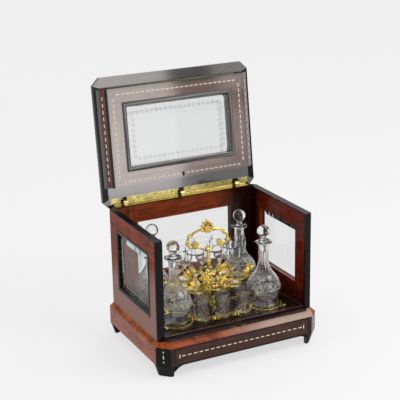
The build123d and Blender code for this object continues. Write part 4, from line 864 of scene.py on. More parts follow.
def set_screws():
    """Rows of slotted screws in both leaves of the main hinge."""
    screw = turned("screw", [(0, -1.0), (1.2, -1.0), (2.0, -0.3), (2.0, 0.0), (1.6, 0.13), (0, 0.2)], 20)
    carved(screw, block("screw_slot", (-2.4, -0.28, -0.35), (2.4, 0.28, 0.6)))
    for body, span, line, height in SCREW_ROWS:
        name = body + "_hinge_screws"
        pitch = span / SCREWS
        places = [at((index + 0.5) * pitch - span / 2, HINGE_Y - line, height) @ turn(37.0 * index, "Z")
                  for index in range(SCREWS)]
        if body == "lid":
            places = [OPENED @ place @ turn(180, "X") for place in places]
        heads = joined(name + "_slotted", [copied(screw, "screw_copy", place) for place in places])
        finished(heads, name + "_slotted", body, FINISHES["aged_brass"], [name], 30)
    bpy.data.objects.remove(screw)


def set_keyhole():
    """The flap's keyhole: a black plate with a round head and a long foot, painted shade for the dark hole.
    """
    plate = turned("keyhole_plate", [(0, -0.4), (3.0, -0.4), (3.0, 0.15), (2.8, 0.25), (0, 0.25)], 28)
    moved(plate, turn(90, "X"))
    shape_points(plate, lambda x, y, z: (x * (0.82 if z < 0 else 1.0), y, z * (2.1 if z < -0.2 else 1.0)))
    moved(plate, FOLDED @ at(0, FLAP_FRONT_Y, KEYHOLE_Z))
    finished(plate, "keyhole_plate", "flap", FINISHES["iron"])


class TANTALUS_OT_small_brass(TantalusOperator):
    """Cover the lid's hinge leaf, and set its slotted screws and the keyhole's plate"""
    bl_idname = "tantalus.small_brass"
    bl_label = "Set Hinge Brass and Keyhole"

    def work(self):
        show_lid_leaf()
        set_screws()
        set_keyhole()


# --- Bone inlay -------------------------------------------------------------------------
def dash_row(name, along, count, pitch, start, share=1.0):
    """Dashes along X or Z that look along Y; the start is the middle of the first, in millimetres."""
    inlay = wanted("inlay")
    half, wide, proud = mm(inlay.dash_length) / 2 * share, mm(inlay.dash_width) / 2, mm(inlay.dash_proud)
    size = (half, proud, wide) if along == "X" else (wide, proud, half)
    dash = block(name, [s - v for s, v in zip(start, size)], [s + v for s, v in zip(start, size)])
    modify(dash, "BEVEL", width=0.05 * MM, segments=1, limit_method="ANGLE", angle_limit=radians(60))
    step = (pitch, 0, 0) if along == "X" else (0, 0, pitch)
    return row_of(dash, count, step) if count > 1 else dash


def flap_line(inlay):
    """The oblong of dashes round the flap's glass."""
    half, low, high = mm(inlay.flap_line_x), mm(inlay.flap_line_low), mm(inlay.flap_line_high)
    pitch = mm(inlay.flap_pitch)
    across, upright = int(2 * half / pitch), int((high - low) / pitch)
    step_x, step_z = 2 * half / (across + 1), (high - low) / (upright + 1)
    left, foot, y = step_x - half, low + step_z, FLAP_FRONT_Y
    rows = [dash_row("flap_dashes", "X", across, step_x, (left, y, z)) for z in (low, high)]
    rows += [dash_row("flap_dashes", "Z", upright, step_z, (x, y, foot)) for x in (-half, half)]
    return joined("flap_bone_line", rows)


def canted(x, y):
    """Places on the two canted corners in front, facing outwards."""
    return [at(side * x, y, 0) @ turn(side * 45, "Z") for side in (-1, 1)]


def post_lines():
    """An upright line of dashes on the canted face of each of the flap's posts."""
    count, pitch, lowest = 13, 12.6, 81.0
    post = dash_row("post_dashes", "Z", count, pitch, (0, 0, lowest))
    return copies("post_bone_lines", post, canted(*POST_MIDDLE))


def plinth_line(inlay):
    """The frieze's dashes, let in almost flush, and three short ones on each front corner block."""
    count, pitch, height = 22, mm(inlay.frieze_pitch), sum(BOARDS) / 2 + 0.6
    front, end = PLINTH_FRONT + mm(inlay.dash_proud) - 0.02, 127.5
    rows = [dash_row("frieze_dashes", "X", count, pitch, (-(count - 1) * pitch / 2, front, height))]
    rows += [dash_row("frieze_dashes", "Z", 1, 0, (side * end, front, height)) for side in (-1, 1)]
    short = [dash_row("block_dash", "Z", 1, 0, (0, 0, height + rise), share)
             for rise, share in ((-9.6, 0.45), (0, 1.0), (9.6, 0.45))]
    places = canted(PLINTH_HALF - PLINTH_CANT / 2, PLINTH_FRONT + PLINTH_CANT / 2)
    return joined("plinth_bone_line", rows + [copies("block_dashes", joined("block_row", short), places)])


class TANTALUS_OT_inlay(TantalusOperator):
    """Lay the bone dashes in the flap, its posts and the plinth"""
    bl_idname = "tantalus.inlay"
    bl_label = "Lay Bone Inlay"

    def work(self):
        inlay, bone = wanted("inlay"), FINISHES["bone"]
        finished(moved(flap_line(inlay), FOLDED), "flap_bone_line", "flap", bone)
        finished(moved(post_lines(), FOLDED), "post_bone_lines", "flap", bone)
        finished(plinth_line(inlay), "plinth_bone_line", "case", bone)


# --- Panes and the reeded moulding ------------------------------------------------------
def bevelled_pane(name, half_x, half_y, rebate, bead):
    """A bevelled pane; the frame's outer face is z = 0 and looks up."""
    low, edge, top = -rebate, -rebate + PANE_EDGE, -rebate + PANE_THICK
    bevel, margin = mm(wanted("panes").bevel_width), 0.4
    reach = bead - margin
    pane = block(name, (-half_x - reach, -half_y - reach, low), (half_x + reach, half_y + reach, edge))
    edit(pane)
    pick(pane, "faces", lambda face: face.normal.z > 0.9)
    bpy.ops.mesh.inset(thickness=bead * MM, depth=0)
    bpy.ops.mesh.inset(thickness=(bevel - margin) * MM, depth=(top - edge) * MM)
    closed_up()
    done()
    return pane


def cut_olives(pane, half_x, half_y, rebate):
    """Grind a row of olive cuts along the inner edge of a pane's bevel."""
    settings = wanted("panes")
    bevel, pitch = mm(settings.bevel_width), mm(settings.cut_pitch)
    wide, long, deep = mm(settings.cut_width), mm(settings.cut_length), mm(settings.cut_depth)
    lift = 0.9
    rows = []
    for along, half, other in ((0, half_x - bevel, half_y - bevel), (1, half_y - bevel, half_x - bevel)):
        count = max(2, int(2 * half / pitch))
        for side in (-1, 1):
            place = [0, 0, PANE_THICK - rebate + lift]
            place[along], place[1 - along] = -(count - 1) * pitch / 2, side * other
            size = [0, 0, deep + lift]
            size[along], size[1 - along] = wide, long
            step = [0, 0, 0]
            step[along] = pitch
            rows.append(row_of(ball("olives", place, size, 12, 8), count, step))
    cutter = joined("olives", rows)
    for part in (pane, cutter):
        for finish in (FINISHES["pane"], FINISHES["ground"]):
            part.data.materials.append(finish)
    number_faces(cutter, lambda face: True)
    return carved(pane, cutter, crossing=True)


class TANTALUS_OT_panes(TantalusOperator):
    """Cut the bevelled panes of the walls, the lid and the flap"""
    bl_idname = "tantalus.panes"
    bl_label = "Cut Window Panes"

    def work(self):
        ground = (FINISHES["pane"], FINISHES["ground"])
        lid_top = OPENED @ at(0, LID_MIDDLE_Y, LID_TOP)
        for body, half_x, half_y, rebate, bead, place in (
                ("flap", FLAP_SIGHT_X, FLAP_HALF_Z, FLAP_REBATE, FLAP_BEAD, FLAP_GLASS),
                ("lid", *LID_SIGHT, LID_REBATE, LID_BEAD, lid_top)):
            pane = bevelled_pane(body + "_glass", half_x, half_y, rebate, bead)
            moved(cut_olives(pane, half_x, half_y, rebate), place)
            finished(pane, body + "_cut_pane", body, ground, [body + "_pane"], 12)

        walls = []
        for half, x, y, way in ((SIDE_SIGHT, -WALL_X, 0, -90), (SIDE_SIGHT, WALL_X, 0, 90),
                                (BACK_SIGHT, 0, WALL_BACK, 180)):
            pane = bevelled_pane("wall_glass", half, WALL_HALF_Z, WALL_REBATE, WALL_BEAD)
            walls.append(moved(pane, at(x, y, WALL_MIDDLE_Z) @ turn(way, "Z") @ turn(90, "X")))
        tinted = (FINISHES["wall_pane"], FINISHES["bevel"])
        walls = finished(joined("wall_cut_panes", walls), "wall_cut_panes", "case", tinted,
                         ["wall_window_panes"], 12)

        def green(face):
            """True for the left pane's bevels, and for those of the right pane that look up."""
            side = face.center.x / MM / WALL_X
            slanted = max(abs(v) for v in face.normal) < 0.997
            return slanted and (side < -0.5 or side > 0.5 and face.normal.z > 0.01)
        number_faces(walls, green)


class TANTALUS_OT_reeding(TantalusOperator):
    """Run the reeded moulding round the flap's glass"""
    bl_idname = "tantalus.reeding"
    bl_label = "Reed Flap Moulding"

    def work(self):
        settings = wanted("panes")
        height, reed_pitch = mm(settings.reed_height), FLAP_BEAD / settings.reeds
        low, top = PANE_EDGE - FLAP_REBATE, FLAP_BEAD_PROUD - height
        outer_x, outer_z = FLAP_SIGHT_X + FLAP_BEAD, FLAP_HALF_Z + FLAP_BEAD
        ring = block("reeded_moulding", (-outer_x, -outer_z, low), (outer_x, outer_z, top))
        edit(ring)
        pick(ring, "faces", lambda face: abs(face.normal.z) > 0.9)
        bpy.ops.mesh.delete(type="ONLY_FACE")
        done()
        modify(ring, "SOLIDIFY", thickness=FLAP_BEAD * MM, offset=-1, use_even_offset=True)
        edit(ring)
        closed_up()
        pick(ring, "faces", lambda face: face.normal.z > 0.9)
        for _ in range(settings.reeds):
            bpy.ops.mesh.inset(thickness=(reed_pitch / 2 - 0.02) * MM / 2, depth=0, use_boundary=True)
        done()

        def reed(x, y, z):
            inside = min(outer_x - abs(x), outer_z - abs(y))
            return x, y, z if z < top - 0.01 else z + height * abs(sin(pi * inside / reed_pitch))
        moved(shape_points(ring, reed), FLAP_GLASS)
        finished(ring, "flap_reeded_moulding", "flap", FINISHES["reeds"], ["flap_bead"], 25)


# --- Cut glass --------------------------------------------------------------------------
def scalloped(count, angle):
    """0 on the ridges between flutes and 1 in their middles."""
    return abs(sin(count * angle / 2))


def cut_round(piece, cut):
    """Move each point of a turned piece by a rule that gives its new distance from the axis and height."""
    def change(x, y, z):
        reach = hypot(x, y)
        new, height = cut(reach, atan2(y, x), z)
        share = new / reach if reach else 1.0
        return x * share, y * share, height
    return shape_points(piece, change)


def decanter_profile():
    line = [(0, 0), (9, 0.3), (18, 0.3), (26, 0), (28.0, 0)]
    line += arc((28.4, 1.0), (34.2, 29), (24.4, 57.5), 24)
    line += arc((24.4, 57.5), (12.6, 76), (9.4, 100), 18)
    line += [(9.4, 105), (9.4, 110), (9.4, 114)]
    line += arc((9.4, 114), (11.6, 120.8), (16.5, 124), 7)
    line += [(16.9, 125), (16.3, 126), (12, 126), (8.8, 125.8), (7.4, 124.6), (7.0, 122), (7.0, 112)]
    line += [(7.4, 100)]
    line += arc((7.4, 100), (10.9, 76), (22.6, 57.5), 14)
    line += arc((22.6, 57.5), (32.4, 29), (26.8, 3.6), 18)
    return line + [(25, 2.6), (18, 2.6), (0, 2.6)]


def on_outer_wall(reach, z):
    """True for a point of the decanter's outer skin, under the neck."""
    heights = (0.0, 15.0, 29.0, 44.0, 57.5, 66.0, 76.0, 88.0, 100.0)
    skins = (27.5, 32.0, 33.3, 30.9, 23.5, 16.4, 11.8, 9.2, 8.4)
    for low, high, under, over in zip(heights, heights[1:], skins, skins[1:]):
        if low <= z <= high:
            share = (z - low) / (high - low)
            return reach > under * (1 - share) + over * share
    return False


def make_decanter(settings):
    piece = turned("decanter", decanter_profile(), settings.steps)
    count, depth, wave = settings.facets, mm(settings.flute_depth), mm(settings.lip_wave)

    def cut(reach, angle, z):
        outside = reach > 8.2 if z > 98 else z < 1.2 or on_outer_wall(reach, z)
        if not outside or reach < 1:
            return reach, z
        # A star under the foot.
        if z < 0.5 and reach < 22:
            return reach, z + 1.4 * scalloped(16, angle)
        # Flutes on the neck and shoulder, and a band of cuts round the belly, between two rings.
        flutes = hill(z, 66, 106, 8.0)
        band = hill(z, 44, 52, 2.0)
        new = reach - depth * flutes * scalloped(count, angle) * (0.6 + reach / 24)
        new -= 0.4 * band * scalloped(2 * count, angle + pi / 24)
        new -= 0.3 * exp(-((z - 55.0) / 0.9) ** 2) + 0.3 * exp(-((z - 41.0) / 0.9) ** 2)
        new -= 0.3 * hill(z, 60, 64, 2.0) * scalloped(3 * count, angle)
        # The lip rises and falls in three waves.
        if z > 119:
            share = min(1.0, max(0.0, (reach - 10.0) / 6.0))
            z += wave * share * (cos(3 * angle) - 1) / 2
            new -= 1.2 * share * (1 - cos(3 * angle)) / 2
        return new, z
    return cut_round(piece, cut)


def make_stopper():
    line = [(0, 173.7), (5.2, 173.7), (5.8, 174.4), (6.2, 193.5), (8.3, 193.7), (8.5, 194.5), (8.3, 196.2),
            (6.2, 197.0), (4.9, 198.6), (4.9, 200.4)]
    line += arc((5.4, 201.8), (12, 212.5), (0, 224.5), 18)[:-1]
    return turned("stopper", line + [(0, 224.5)], 48)


def make_tumbler(settings):
    rise = 46.0
    line = [(0, 0.8), (6, 0.8), (10.5, 0), (12.0, 0)]
    marks = [0.6, 1.8] + [3.0 + 34.0 * i / 12 for i in range(13)] + [38.5, 40.0, 41.5, 43.0, 44.4, 45.4]
    line += [(12.2 + 3.8 * mark / rise, mark) for mark in marks]
    line += [(15.8, rise), (15.1, rise), (14.9, rise - 0.6)]
    line += [(14.9 - 3.5 * i / 6, rise - 0.6 - (rise - 7.6) * i / 6) for i in range(1, 7)]
    piece = turned("tumbler", line + [(10.4, 6.6), (0, 6.2)], 48)
    count, depth = 12, mm(settings.facet_depth)
    rows, low, high = 3, 3.0, 37.0

    def cut(reach, angle, z):
        # A star under the foot.
        if z < 1.0 and reach < 10:
            return reach, z + (0.8 * scalloped(16, angle) if reach > 3 else 0)
        wall = 12.2 + 3.8 * z / rise
        if reach < wall - 0.5 or not low - 0.5 < z < high + 6.0:
            return reach, z
        # Shallow flutes above the crossed facets.
        if z > high:
            new = reach - 0.5 * depth * scalloped(count, angle) * hill(z, high + 1, high + 3, 3.0)
            return new, z
        across, height = count * angle / (2 * pi), rows * (z - low) / (high - low)
        new = reach - depth * sum(abs(v % 1.0 - 0.5) for v in (across + height, across - height))
        return new, z
    return cut_round(piece, cut)


def make_stemmed_glass(settings):
    line = [(0, 0.5), (9, 0.3), (15.6, 0), (16.0, 0.6), (15.8, 1.5), (10, 2.5), (3.9, 4), (2.9, 6), (2.4, 9),
            (2.3, 14), (3.4, 17), (2.5, 20), (2.4, 25), (3.2, 27.6), (6.5, 30)]
    line += arc((6.5, 30), (12.4, 38.4), (14.9, 46), 7)
    line += [(14.9 + 1.6 * i / 9, 46 + 28.4 * i / 9) for i in range(1, 10)]
    line += [(16.4, 74.9), (15.9, 74.9), (15.7, 74.4)]
    line += [(15.7 - 1.6 * i / 5, 74.4 - 28.4 * i / 5) for i in range(1, 6)]
    line += [(11.6, 38.6), (6.5, 32.6)]
    piece = turned("stemmed_glass", line + [(3, 31.6), (0, 31.4)], 72)
    count = settings.facets

    def cut(reach, angle, z):
        wall = 6.5 + (z - 30) * 0.52 if z < 46 else 14.9 + (z - 46) * 0.055
        # Six flutes on the stem; longer ones on the bowl, with a ring of cuts above them.
        if z < 29.5 and reach < 5 and z > 5:
            share = hill(z, 10, 24, 3.0)
            new = reach * (1 - 0.13 * share * scalloped(6, angle))
        elif z >= 29.5 and reach > wall - 0.95:
            new = reach - 0.5 * hill(z, 33, 50, 4.0) * scalloped(count, angle)
            new -= 0.28 * hill(z, 58, 62, 1.0) * scalloped(3 * count, angle)
        else:
            return reach, z
        return new, z
    return cut_round(piece, cut)


def set_out(model, name, place, spin, finish, smooth):
    """Put a copy of a vessel in its place on the stand, for the plain one of that name."""
    piece = copied(model, name + "_copy", STAND @ at(*place) @ turn(spin, "Z"))
    finished(piece, name + "_cut", name, FINISHES[finish], [name], smooth)


class TANTALUS_OT_decanters(TantalusOperator):
    """Turn and cut the four decanters and their stoppers"""
    bl_idname = "tantalus.decanters"
    bl_label = "Cut Decanters"

    def work(self):
        kinds = (("decanter_", make_decanter(wanted("vessels")), TRAY_TOP, "decanter"),
                 ("stopper_", make_stopper(), 0, "crystal"))
        for index, (corner, (x, y)) in enumerate(DECANTERS.items()):
            for kind, model, seat, finish in kinds:
                set_out(model, kind + corner, (x, y, seat), 23.0 + 31.0 * index, finish, 24)
        for _, model, _, _ in kinds:
            bpy.data.objects.remove(model)


class TANTALUS_OT_glasses(TantalusOperator):
    """Turn and cut the eight tumblers and the eight stemmed glasses"""
    bl_idname = "tantalus.glasses"
    bl_label = "Cut Glasses"

    def work(self):
        settings = wanted("vessels")
        for kind, model, spots, seat, smooth in (
                ("tumbler", make_tumbler(settings), TUMBLERS, TRAY_TOP, 4),
                ("stemmed_glass", make_stemmed_glass(settings), STEMMED, GLASS_SEAT, 24)):
            for index, (x, y) in enumerate(spots, 1):
                set_out(model, f"{kind}_{index}", (x, y, seat), 17.0 * index, kind, smooth)
            bpy.data.objects.remove(model)


# --- Gilt ornament ----------------------------------------------------------------------
def leaf(name, long, wide, curl):
    """A lobed, ribbed leaf from the origin up Z, that curls towards -Y by some degrees."""
    clear_selection()
    bpy.ops.mesh.primitive_grid_add(x_subdivisions=10, y_subdivisions=18, size=MM)
    piece = new_piece(name)
    bend, lobes, rib = radians(curl), 4, 0.6

    def grow(x, y, _):
        share, side = y + 0.5, 2 * x
        width = wide / 2 * (sin(pi * (0.08 + 0.92 * share) ** 0.75)) ** 0.7
        width *= 1 + 0.3 * cos(2 * pi * lobes * share) * abs(side) ** 2
        angle = bend * share ** 1.4
        hollow = rib * (1 - abs(side)) + 0.35 * cos(4 * pi * side)
        return side * width, -long * (1 - cos(angle)) / bend - hollow, long * sin(angle) / bend
    shape_points(piece, grow)
    return modify(piece, "SOLIDIFY", thickness=wanted("ornament").leaf_thick, offset=0)


def petal(long, wide, lift):
    """A cupped petal from the origin along Z, on a flower that looks towards -Y."""
    piece = ball("petal", (0, 0, long / 2), (wide / 2, 1.0, long / 2), 14, 10)

    def cup(x, y, z):
        share = z / long
        raised = y - lift * sin(pi * share * 0.8) - 0.09 * x * x + 0.5 * exp(-x * x)
        return x * (0.35 + 0.85 * share) + 1.4 * share * share, raised, z
    return shape_points(piece, cup)


def make_rosette():
    """A flower that looks towards -Y, with its middle at the origin."""
    count = wanted("ornament").petals
    outer = copies("rosette_outer", petal(14.0, 8.6, 3.0), [turn(360 * i / count, "Y") for i in range(count)])
    count -= 1
    places = [turn(360 * (i + 0.5) / count, "Y") for i in range(count)]
    inner = copies("rosette_inner", petal(8.6, 5.4, 4.6), places)
    heart = ball("rosette_heart", (0, -4.2, 0), (3.6, 2.4, 3.6), 16, 10)
    seeds = copies("rosette_seeds", ball("seed", (0, -4.6, 3.4), (0.8, 0.9, 0.8), 8, 6),
                   [turn(45 * i, "Y") for i in range(8)])
    return joined("rosette", [outer, inner, heart, seeds])


class TANTALUS_OT_rosettes(TantalusOperator):
    """Dress the column with rosettes and a leafy collar"""
    bl_idname = "tantalus.rosettes"
    bl_label = "Dress Column"

    def work(self):
        face = at(-8.0, -12.5, ROSETTE_Z + 0.6) @ turn(-20, "Z") @ turn(-10, "X") @ sized(1.15)
        places = [STAND @ turn(side, "Z") @ face for side in (0, 180)]
        flowers = copies("rosettes", make_rosette(), places)
        # A dark brass dish behind each flower: painted shade behind the petals.
        dish = turned("dish", [(0, -0.6), (14.5, 2.0), (15.2, 1.4), (14.0, 0.2), (0, -1.8)], 36)
        backs = copies("rosette_backs", dish, [place @ turn(90, "X") @ at(0, 0, -2.2) for place in places])
        finished(backs, "rosette_backs", "stand", FINISHES["aged_brass"])
        collar = copies("collar_leaves", leaf("collar_leaf", 12, 8, 75),
                        [STAND @ turn(45 * i, "Z") @ at(0, -7.2, 70.5) for i in range(8)])
        finished(joined("column_ornament", [flowers, collar]), "column_ornament", "stand",
                 FINISHES["gilt"], smooth=50)


def facing(way):
    """Face the front for a negative way, and the back for another."""
    return turn(0 if way < 0 else 180, "Z")


def gallery_fans():
    """Places of the leaves that fan out over the upper tray's scrolls and rim."""
    tray, hoop = UPPER_TRAY_TOP, 11
    fans = [at(x, 0, tray + hoop - 1) @ turn(tilt, "Y") @ at(0, side * -1.2, hoop - 3.4) @ facing(-side)
            for x in (-33, 33) for side in (-1, 1) for tilt in (-52, -17, 17, 52)]
    fans += [at(x, 0, tray + 7) @ turn(way, "Z") @ turn(tilt, "Y") @ at(0, -1.2, 4.6)
             for x, way in ((-81, -90), (81, 90)) for tilt in (-45, 0, 45)]
    fans += [at(x, y, tray + 5) @ facing(y) @ turn(tilt, "Y") @ at(0, -1.2, 2.2) @ sized(0.75)
             for x in (-18.5, 18.5) for y in (-40, 40) for tilt in (-50, 0, 50)]
    return fans


def base_tufts():
    """Places of the leaves between the tumblers and beside the decanters."""
    tufts = [at(x, y * 0.86, TRAY_TOP + 1.0) @ facing(y) @ turn(25, "X") @ turn(tilt, "Y") @ sized(share)
             for y in (-78.0, 78.0) for x in (-20.5, 20.5)
             for tilt, share in ((-58, 0.8), (-20, 1.0), (20, 1.0), (58, 0.8))]
    tufts += [at(x * 60, y * 44, TRAY_TOP + 2.0) @ facing(y) @ turn(x * y * 35, "Z") @ turn(30, "X")
              @ turn(tilt, "Y") @ sized(0.95) for x in (-1, 1) for y in (-1, 1) for tilt in (-50, 0, 50)]
    return tufts


def slim_base_frame():
    """The stand's base with its rings at half their height and its edges rounded."""
    base = copied(NODES["base_frame"], "base_copy", Matrix())
    shape_points(base, lambda x, y, z: (x, y, TRAY_TOP + (z - TRAY_TOP) * (0.5 if z > TRAY_TOP else 1.0)))
    return modify(base, "BEVEL", width=0.35 * MM, segments=2, limit_method="ANGLE", angle_limit=radians(50))


def scatter(name, model, places):
    """Set gilt copies of a leaf at many places on the stand, as one piece."""
    leaves = copies(name, model, [STAND @ place for place in places])
    finished(leaves, name, "stand", FINISHES["gilt"], smooth=50)


class TANTALUS_OT_gallery(TantalusOperator):
    """Dress the scrolls of the upper tray, its rim and the base with leaves"""
    bl_idname = "tantalus.gallery"
    bl_label = "Dress Gallery and Base"

    def work(self):
        scatter("gallery_leaves", leaf("scroll_leaf", 15, 9, 95), gallery_fans())
        finished(slim_base_frame(), "base_frame_slim", "stand", FINISHES["gilt"], ["base_frame"])
        scatter("base_leaves", leaf("base_leaf", 17, 10, 110), base_tufts())


def bar_through(name, radius, start, arcs):
    """A round bar: a ring that is spun on through arcs in the XZ plane."""
    clear_selection()
    bpy.ops.mesh.primitive_circle_add(vertices=16, radius=radius * MM, rotation=(0, radians(90), 0),
                                      location=(start[0] * MM, 0, start[1] * MM))
    edit(new_piece(name), "VERT")
    for (x, z), degrees, steps in arcs:
        bpy.ops.mesh.spin(steps=steps, angle=radians(-degrees), center=(x * MM, 0, z * MM), axis=(0, 1, 0))
    bpy.ops.mesh.select_all(action="SELECT")
    bpy.ops.mesh.fill_holes(sides=0)
    closed_up()
    return done()


def half_handle():
    """The bar from the crest down to its curl, with its arm and its leaf wraps."""
    radius = mm(wanted("ornament").bar_radius)
    crown, shoulder, curl = (0.0, 157.7), (20.4, 193.04), (31.03, 190.19)
    bar = bar_through("handle_bar", radius, (0, 217.5), [(crown, 30, 8), (shoulder, 75, 14), (curl, 150, 20)])
    tip = ball("handle_tip", (23.3, 0, 188.1), (2.6, 2.6, 2.6))
    arm = block("handle_arm", (-1.3, -1.3, 0), (1.3, 1.3, 29.0))
    modify(arm, "BEVEL", width=0.9 * MM, segments=3)
    moved(arm, at(2.0, 0, 174.0) @ turn(64, "Y"))
    holds = ((30.0, 208.5, 122), (38.8, 195.0, 170), (31.0, 182.5, 262))
    wraps = copies("handle_wraps", leaf("handle_wrap", 11, 6, 40),
                   [at(x, side * 1.6, z) @ turn(tilt, "Y") @ facing(side)
                    for x, z, tilt in holds for side in (-1, 1)])
    return joined("handle_half", [bar, tip, arm, wraps])


class TANTALUS_OT_handle(TantalusOperator):
    """Shape the carrying handle, its crest and its leaf wraps"""
    bl_idname = "tantalus.handle"
    bl_label = "Shape Handle"

    def work(self):
        half = half_handle()
        other = copied(half, "handle_other_half", turn(180, "Z"))
        cap = turned("handle_cap", [(0, 171.8), (3.6, 171.8), (4.0, 172.4), (4.0, 175.5), (5.2, 176.4),
                                    (5.2, 177.4), (3.0, 179.0), (2.2, 183.0), (0, 185.5)], 24)
        sizes = {-95: 0.95, -62: 0.85, -30: 0.95, 0: 1.12, 30: 0.95, 62: 0.85, 95: 0.95}
        crest = copies("crest_leaves", leaf("crest_leaf", 17, 8.5, 40),
                       [at(0, side * -1.2, 216.0) @ turn(tilt, "Y") @ facing(-side) @ sized(share)
                        for side in (-1, 1) for tilt, share in sizes.items()])
        flowers = copies("crest_flowers", make_rosette(),
                         [turn(spin, "Z") @ at(x, -2.6, z) @ sized(share) for spin in (0, 180)
                          for x, z, share in ((0, 217.0, 0.6), (23.3, 188.1, 0.42), (-23.3, 188.1, 0.42))])
        whole = joined("carrying_handle_cast", [half, other, cap, crest, flowers])
        moved(whole, STAND @ turn(HANDLE_TURN, "Z"))
        finished(whole, "handle_cast", "stand", FINISHES["gilt"], ["carrying_handle"], 50)


# --- Stage ------------------------------------------------------------------------------
# Low softboxes in front: x, height, size, and share of their common level.
LOW_SOFTBOXES = {"low": (0.43, 0.43, (0.36, 0.6), 1.0), "fading": (0.70, 0.31, (0.14, 0.2), 0.4),
                 "side": (0.88, 0.32, (0.22, 0.16), 0.14), "upper": (0.90, 0.53, (0.20, 0.18), 0.5)}
LAMP_TONE = (1.0, 0.965, 0.93)
CAMERA_PLACE = (-0.8674, -1.6878, 0.8980)
CAMERA_AZIMUTH, CAMERA_ELEVATION, CAMERA_ROLL = -25.483, 17.311, -1.43
CAMERA_SHIFT = (0.0544, -0.0424)


def softbox(name, place, aim, size, strength):
    clear_selection()
    bpy.ops.object.light_add(type="AREA", location=place)
    light = bpy.context.object
    light.name = name + "_softbox"
    light.data.shape = "RECTANGLE"
    light.data.size, light.data.size_y = size
    light.data.energy = strength * pi * size[0] * size[1]
    light.data.color = LAMP_TONE
    light.rotation_euler = (Vector(aim) - Vector(place)).to_track_quat("-Z", "Y").to_euler()
    light.visible_camera = False


def set_softboxes(settings):
    middle = (0, 0, 0.15)
    softbox("key", (0.95, -0.85, 1.55), middle, (0.9, 0.9), settings.key_level)
    softbox("spark", (-1.0, -1.25, 1.15), middle, (0.16, 0.16), settings.spark_level)
    for name, (x, height, size, share) in LOW_SOFTBOXES.items():
        softbox(name, (x, -1.25, height), (x - 0.5, 0.14, height), size, settings.lid_level * share)


def lay_floor(settings):
    """A floor as pale as the backdrop where it is seen, and plain where it lights the cabinet."""
    bpy.ops.mesh.primitive_plane_add(size=settings.floor_size)
    floor = bpy.context.object
    floor.name = "floor"
    paper = tuple(settings.paper)
    f = Finish("pale_floor")
    matt = f.add("BsdfDiffuse", {"Color": (0.8, 0.8, 0.8, 1)}).outputs[0]
    glow = f.add("Emission", {"Color": (*paper, 1), "Strength": settings.floor_glow}).outputs[0]
    lit = f.add("BsdfDiffuse", {"Color": (*shaded(paper, 0.31), 1)}).outputs[0]
    pale = f.add("AddShader", {0: glow, 1: lit}).outputs[0]
    rays = f.add("LightPath").outputs
    seen = f.calc("MAXIMUM", rays["Is Camera Ray"],
                  f.calc("MAXIMUM", rays["Is Glossy Ray"], rays["Is Transmission Ray"]))
    floor.data.materials.append(f.made(f.add("MixShader", {0: seen, 1: matt, 2: pale}).outputs[0]))


def light_world(scene, settings):
    """A white backdrop behind and above, and a dim room on the camera's side."""
    world = bpy.data.worlds.new("pale_room")
    scene.world = world
    world.use_nodes = True
    nodes = Nodes(world.node_tree)
    _, behind, above = nodes.add("SeparateXYZ", {0: nodes.add("TexCoord").outputs["Generated"]}).outputs
    height = nodes.calc("MULTIPLY_ADD", above, 0.9, behind)
    strength = nodes.add("MapRange", {0: height, 1: -0.45, 2: 0.35, 3: settings.room_level,
                                      4: settings.backdrop_level}, interpolation_type="SMOOTHSTEP").outputs[0]
    backdrop = nodes.add("Background", {0: (*tuple(settings.paper), 1), 1: strength}).outputs[0]
    nodes.add("OutputWorld", {0: backdrop})


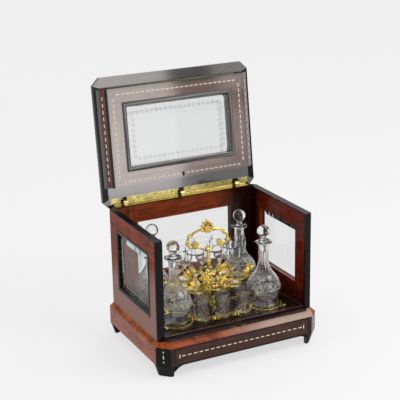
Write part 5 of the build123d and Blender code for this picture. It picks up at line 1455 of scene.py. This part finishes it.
def stand_camera(scene, lens):
    azimuth, elevation, roll = (radians(v) for v in (CAMERA_AZIMUTH, CAMERA_ELEVATION, CAMERA_ROLL))
    back = Vector((sin(azimuth) * cos(elevation), -cos(azimuth) * cos(elevation), sin(elevation)))
    right = (-back).cross(Vector((0, 0, 1))).normalized()
    up = right.cross(-back)
    across = right * cos(roll) + up * sin(roll)
    above = up * cos(roll) - right * sin(roll)
    bpy.ops.object.camera_add(location=CAMERA_PLACE)
    camera = bpy.context.object
    axes = Matrix((across, above, back)).transposed().to_4x4()
    camera.matrix_world = Matrix.Translation(CAMERA_PLACE) @ axes
    camera.data.sensor_width = 36
    camera.data.lens = lens
    camera.data.shift_x, camera.data.shift_y = CAMERA_SHIFT
    camera.data.clip_end = 100
    scene.camera = camera


class TANTALUS_OT_stage(TantalusOperator):
    """Lay the floor, set the softboxes and stand the camera"""
    bl_idname = "tantalus.stage"
    bl_label = "Set Stage"

    def work(self):
        scene, settings = bpy.context.scene, wanted("stage")
        scene.view_settings.view_transform = "Standard"
        lay_floor(settings)
        light_world(scene, settings)
        set_softboxes(settings)
        stand_camera(scene, settings.lens)


OPERATORS = (TANTALUS_OT_finishes, TANTALUS_OT_eased, TANTALUS_OT_small_brass, TANTALUS_OT_inlay,
             TANTALUS_OT_panes, TANTALUS_OT_reeding, TANTALUS_OT_decanters, TANTALUS_OT_glasses,
             TANTALUS_OT_rosettes, TANTALUS_OT_gallery, TANTALUS_OT_handle, TANTALUS_OT_stage)


class TANTALUS_PT_bench(bpy.types.Panel):
    """Settings and steps of the cabinet's fine work"""
    bl_idname = "TANTALUS_PT_bench"
    bl_label = "Tantalus"
    bl_space_type = "VIEW_3D"
    bl_region_type = "UI"
    bl_category = "Tantalus"

    def draw(self, context):
        for group, kind in GROUPS.items():
            box = self.layout.box()
            box.label(text=group.capitalize())
            for key in kind.__annotations__:
                box.prop(wanted(group), key)
        for operator in OPERATORS:
            self.layout.operator(operator.bl_idname)


def register():
    for kind in (*GROUPS.values(), *OPERATORS, TANTALUS_PT_bench):
        bpy.utils.register_class(kind)
    for group, kind in GROUPS.items():
        setattr(bpy.types.Scene, "tantalus_" + group, PointerProperty(type=kind))


def unregister():
    for group in GROUPS:
        delattr(bpy.types.Scene, "tantalus_" + group)
    for kind in reversed((*GROUPS.values(), *OPERATORS, TANTALUS_PT_bench)):
        bpy.utils.unregister_class(kind)


def main():
    register()
    for operator in OPERATORS:
        group, step = operator.bl_idname.split(".")
        getattr(getattr(bpy.ops, group), step)()


if __name__ == "__main__":
    main()
